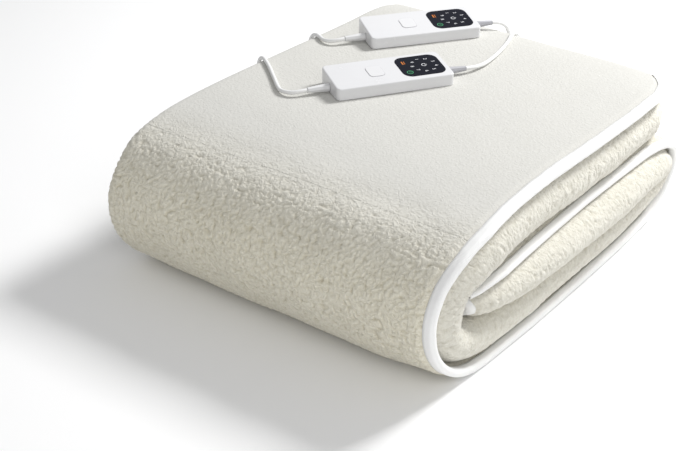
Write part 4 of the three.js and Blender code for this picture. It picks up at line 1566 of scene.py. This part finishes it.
@dataclass
class Controller:
    """Marks of one hand controller: its display's digits and signs, and its button's outline.

    Each outline is a width, a depth and a corner radius.
    """

    name: str
    heading: float
    power_sign: tuple[Mark, ...] = (Mark(4.6, 0.0, (2.5, 0.7, 35.0, 325.0)), Mark(6.9, 0.0, (2.6, 0.7)))
    warm_sign: tuple[Mark, ...] = (Mark(-17.2, 9.0, (1.3, 6.4)), Mark(-14.9, 9.0, (0.7, 6.4)))
    timer_sign: tuple[Mark, ...] = (
        Mark(-16.2, -12.0, (3.2, 0.8, 0.0, 360.0)), Mark(-15.4, -12.0, (2.3, 0.7)),
        Mark(-16.2, -11.2, (2.3, 0.7), True))
    line_outlines: tuple[tuple[float, float, float], ...] = ((18.1, 22.1, 5.0), (17.2, 21.2, 4.6))
    line_heights: tuple[float, float] = (-1.2, -0.42)
    ring_centre: tuple[float, float] = (4.6, 0.0)
    ring_radius: float = 13.6
    digits: str = "123456789"
    first_angle: float = 102.0
    digit_size: float = 5.6
    low: float = -0.05
    high: float = 0.06

    def add(self, plane: FacePlane, label: str, parts: list[tuple[Array, Sequence]],
            material: Material, slot: str) -> Object:
        """Joins flat marks into one piece on a face.

        Args:
            plane: The face.
            label: What the piece is.
            parts: Points on the face and faces of each mark.
            material: The finish.
            slot: The record's slot; not used.

        Returns:
            The piece.
        """
        points, faces, start = [], [], 0
        for part_points, part_faces in parts:
            points.append(part_points)
            faces += [[int(number) + start for number in face] for face in part_faces]
            start += len(part_points)
        placed = plane.place(np.concatenate(points))
        return new_piece(f"{label}_{self.name}", placed, faces, material, slot, flat=True)

    def build(self) -> list[Object]:
        """Makes the marks of the display and the outline of the button."""
        joint = f"{self.name}_button_press"
        display = FacePlane.of(f"screen_{self.name}", joint, self.heading)
        button = FacePlane.of(f"button_{self.name}", joint, self.heading)
        cx, cy = self.ring_centre
        white = []
        for number, digit in enumerate(self.digits):
            angle = math.radians(self.first_angle - 360.0 / len(self.digits) * number)
            points, faces = glyph(digit, self.digit_size, self.low, self.high)
            x, y = cx + self.ring_radius * math.cos(angle), cy + self.ring_radius * math.sin(angle)
            white.append((turned(points, x, y, True), faces))
        power, orange, green = (
            [mark.build(self.low, self.high) for mark in sign]
            for sign in (self.power_sign, self.warm_sign, self.timer_sign))
        white += power
        groove = band(*(rounded_loop(*outline) for outline in self.line_outlines), *self.line_heights)
        return [
            self.add(display, "digits", white, MARK_WHITE, "display_black"),
            self.add(display, "warm_sign", orange, MARK_ORANGE, "display_black"),
            self.add(display, "timer_sign", green, MARK_GREEN, "display_black"),
            self.add(button, "button_line", [groove], GROOVE, "controller_white"),
        ]


CONTROLLERS = (Controller("front", 58.0), Controller("rear", 55.5))


# Dressing of the model's own nodes

@dataclass(frozen=True)
class NodeDress:
    """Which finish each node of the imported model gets."""

    finishes: tuple[tuple[str, Material], ...] = (
        ("case_", WHITE), ("screen_", PANEL), ("button_", WHITE_MATT), ("relief_blanket_", RUBBER),
        ("relief_", WHITE_RUBBER), ("inlet_", WHITE_RUBBER), ("plug_pin_", PIN), ("plug_", SHEATH))

    def build(self) -> None:
        """Gives every node that shows its finish, the first match counting."""
        for name, node in frame["nodes"].items():
            for start, material in self.finishes:
                if name.startswith(start):
                    node.data.materials.clear()
                    node.data.materials.append(material)
                    break


def main() -> None:
    """Builds the studio, the leads, the cloth and the controllers."""
    logging.basicConfig(level=logging.INFO, format="%(name)s: %(message)s")
    Studio().build()
    for lead in LEADS:
        lead.build()
    fleece = Fleece()
    fleece.build()
    tapes = Binding().build()
    fleece.declare()
    for controller in CONTROLLERS:
        marks = controller.build()
        log.info("controller %s: %d pieces of marks", controller.name, len(marks))
    NodeDress().build()
    bounds = [[list(map(float, corner)) for corner in box] for box in (CAD_BOUNDS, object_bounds())]


if __name__ == "__main__":
    main()
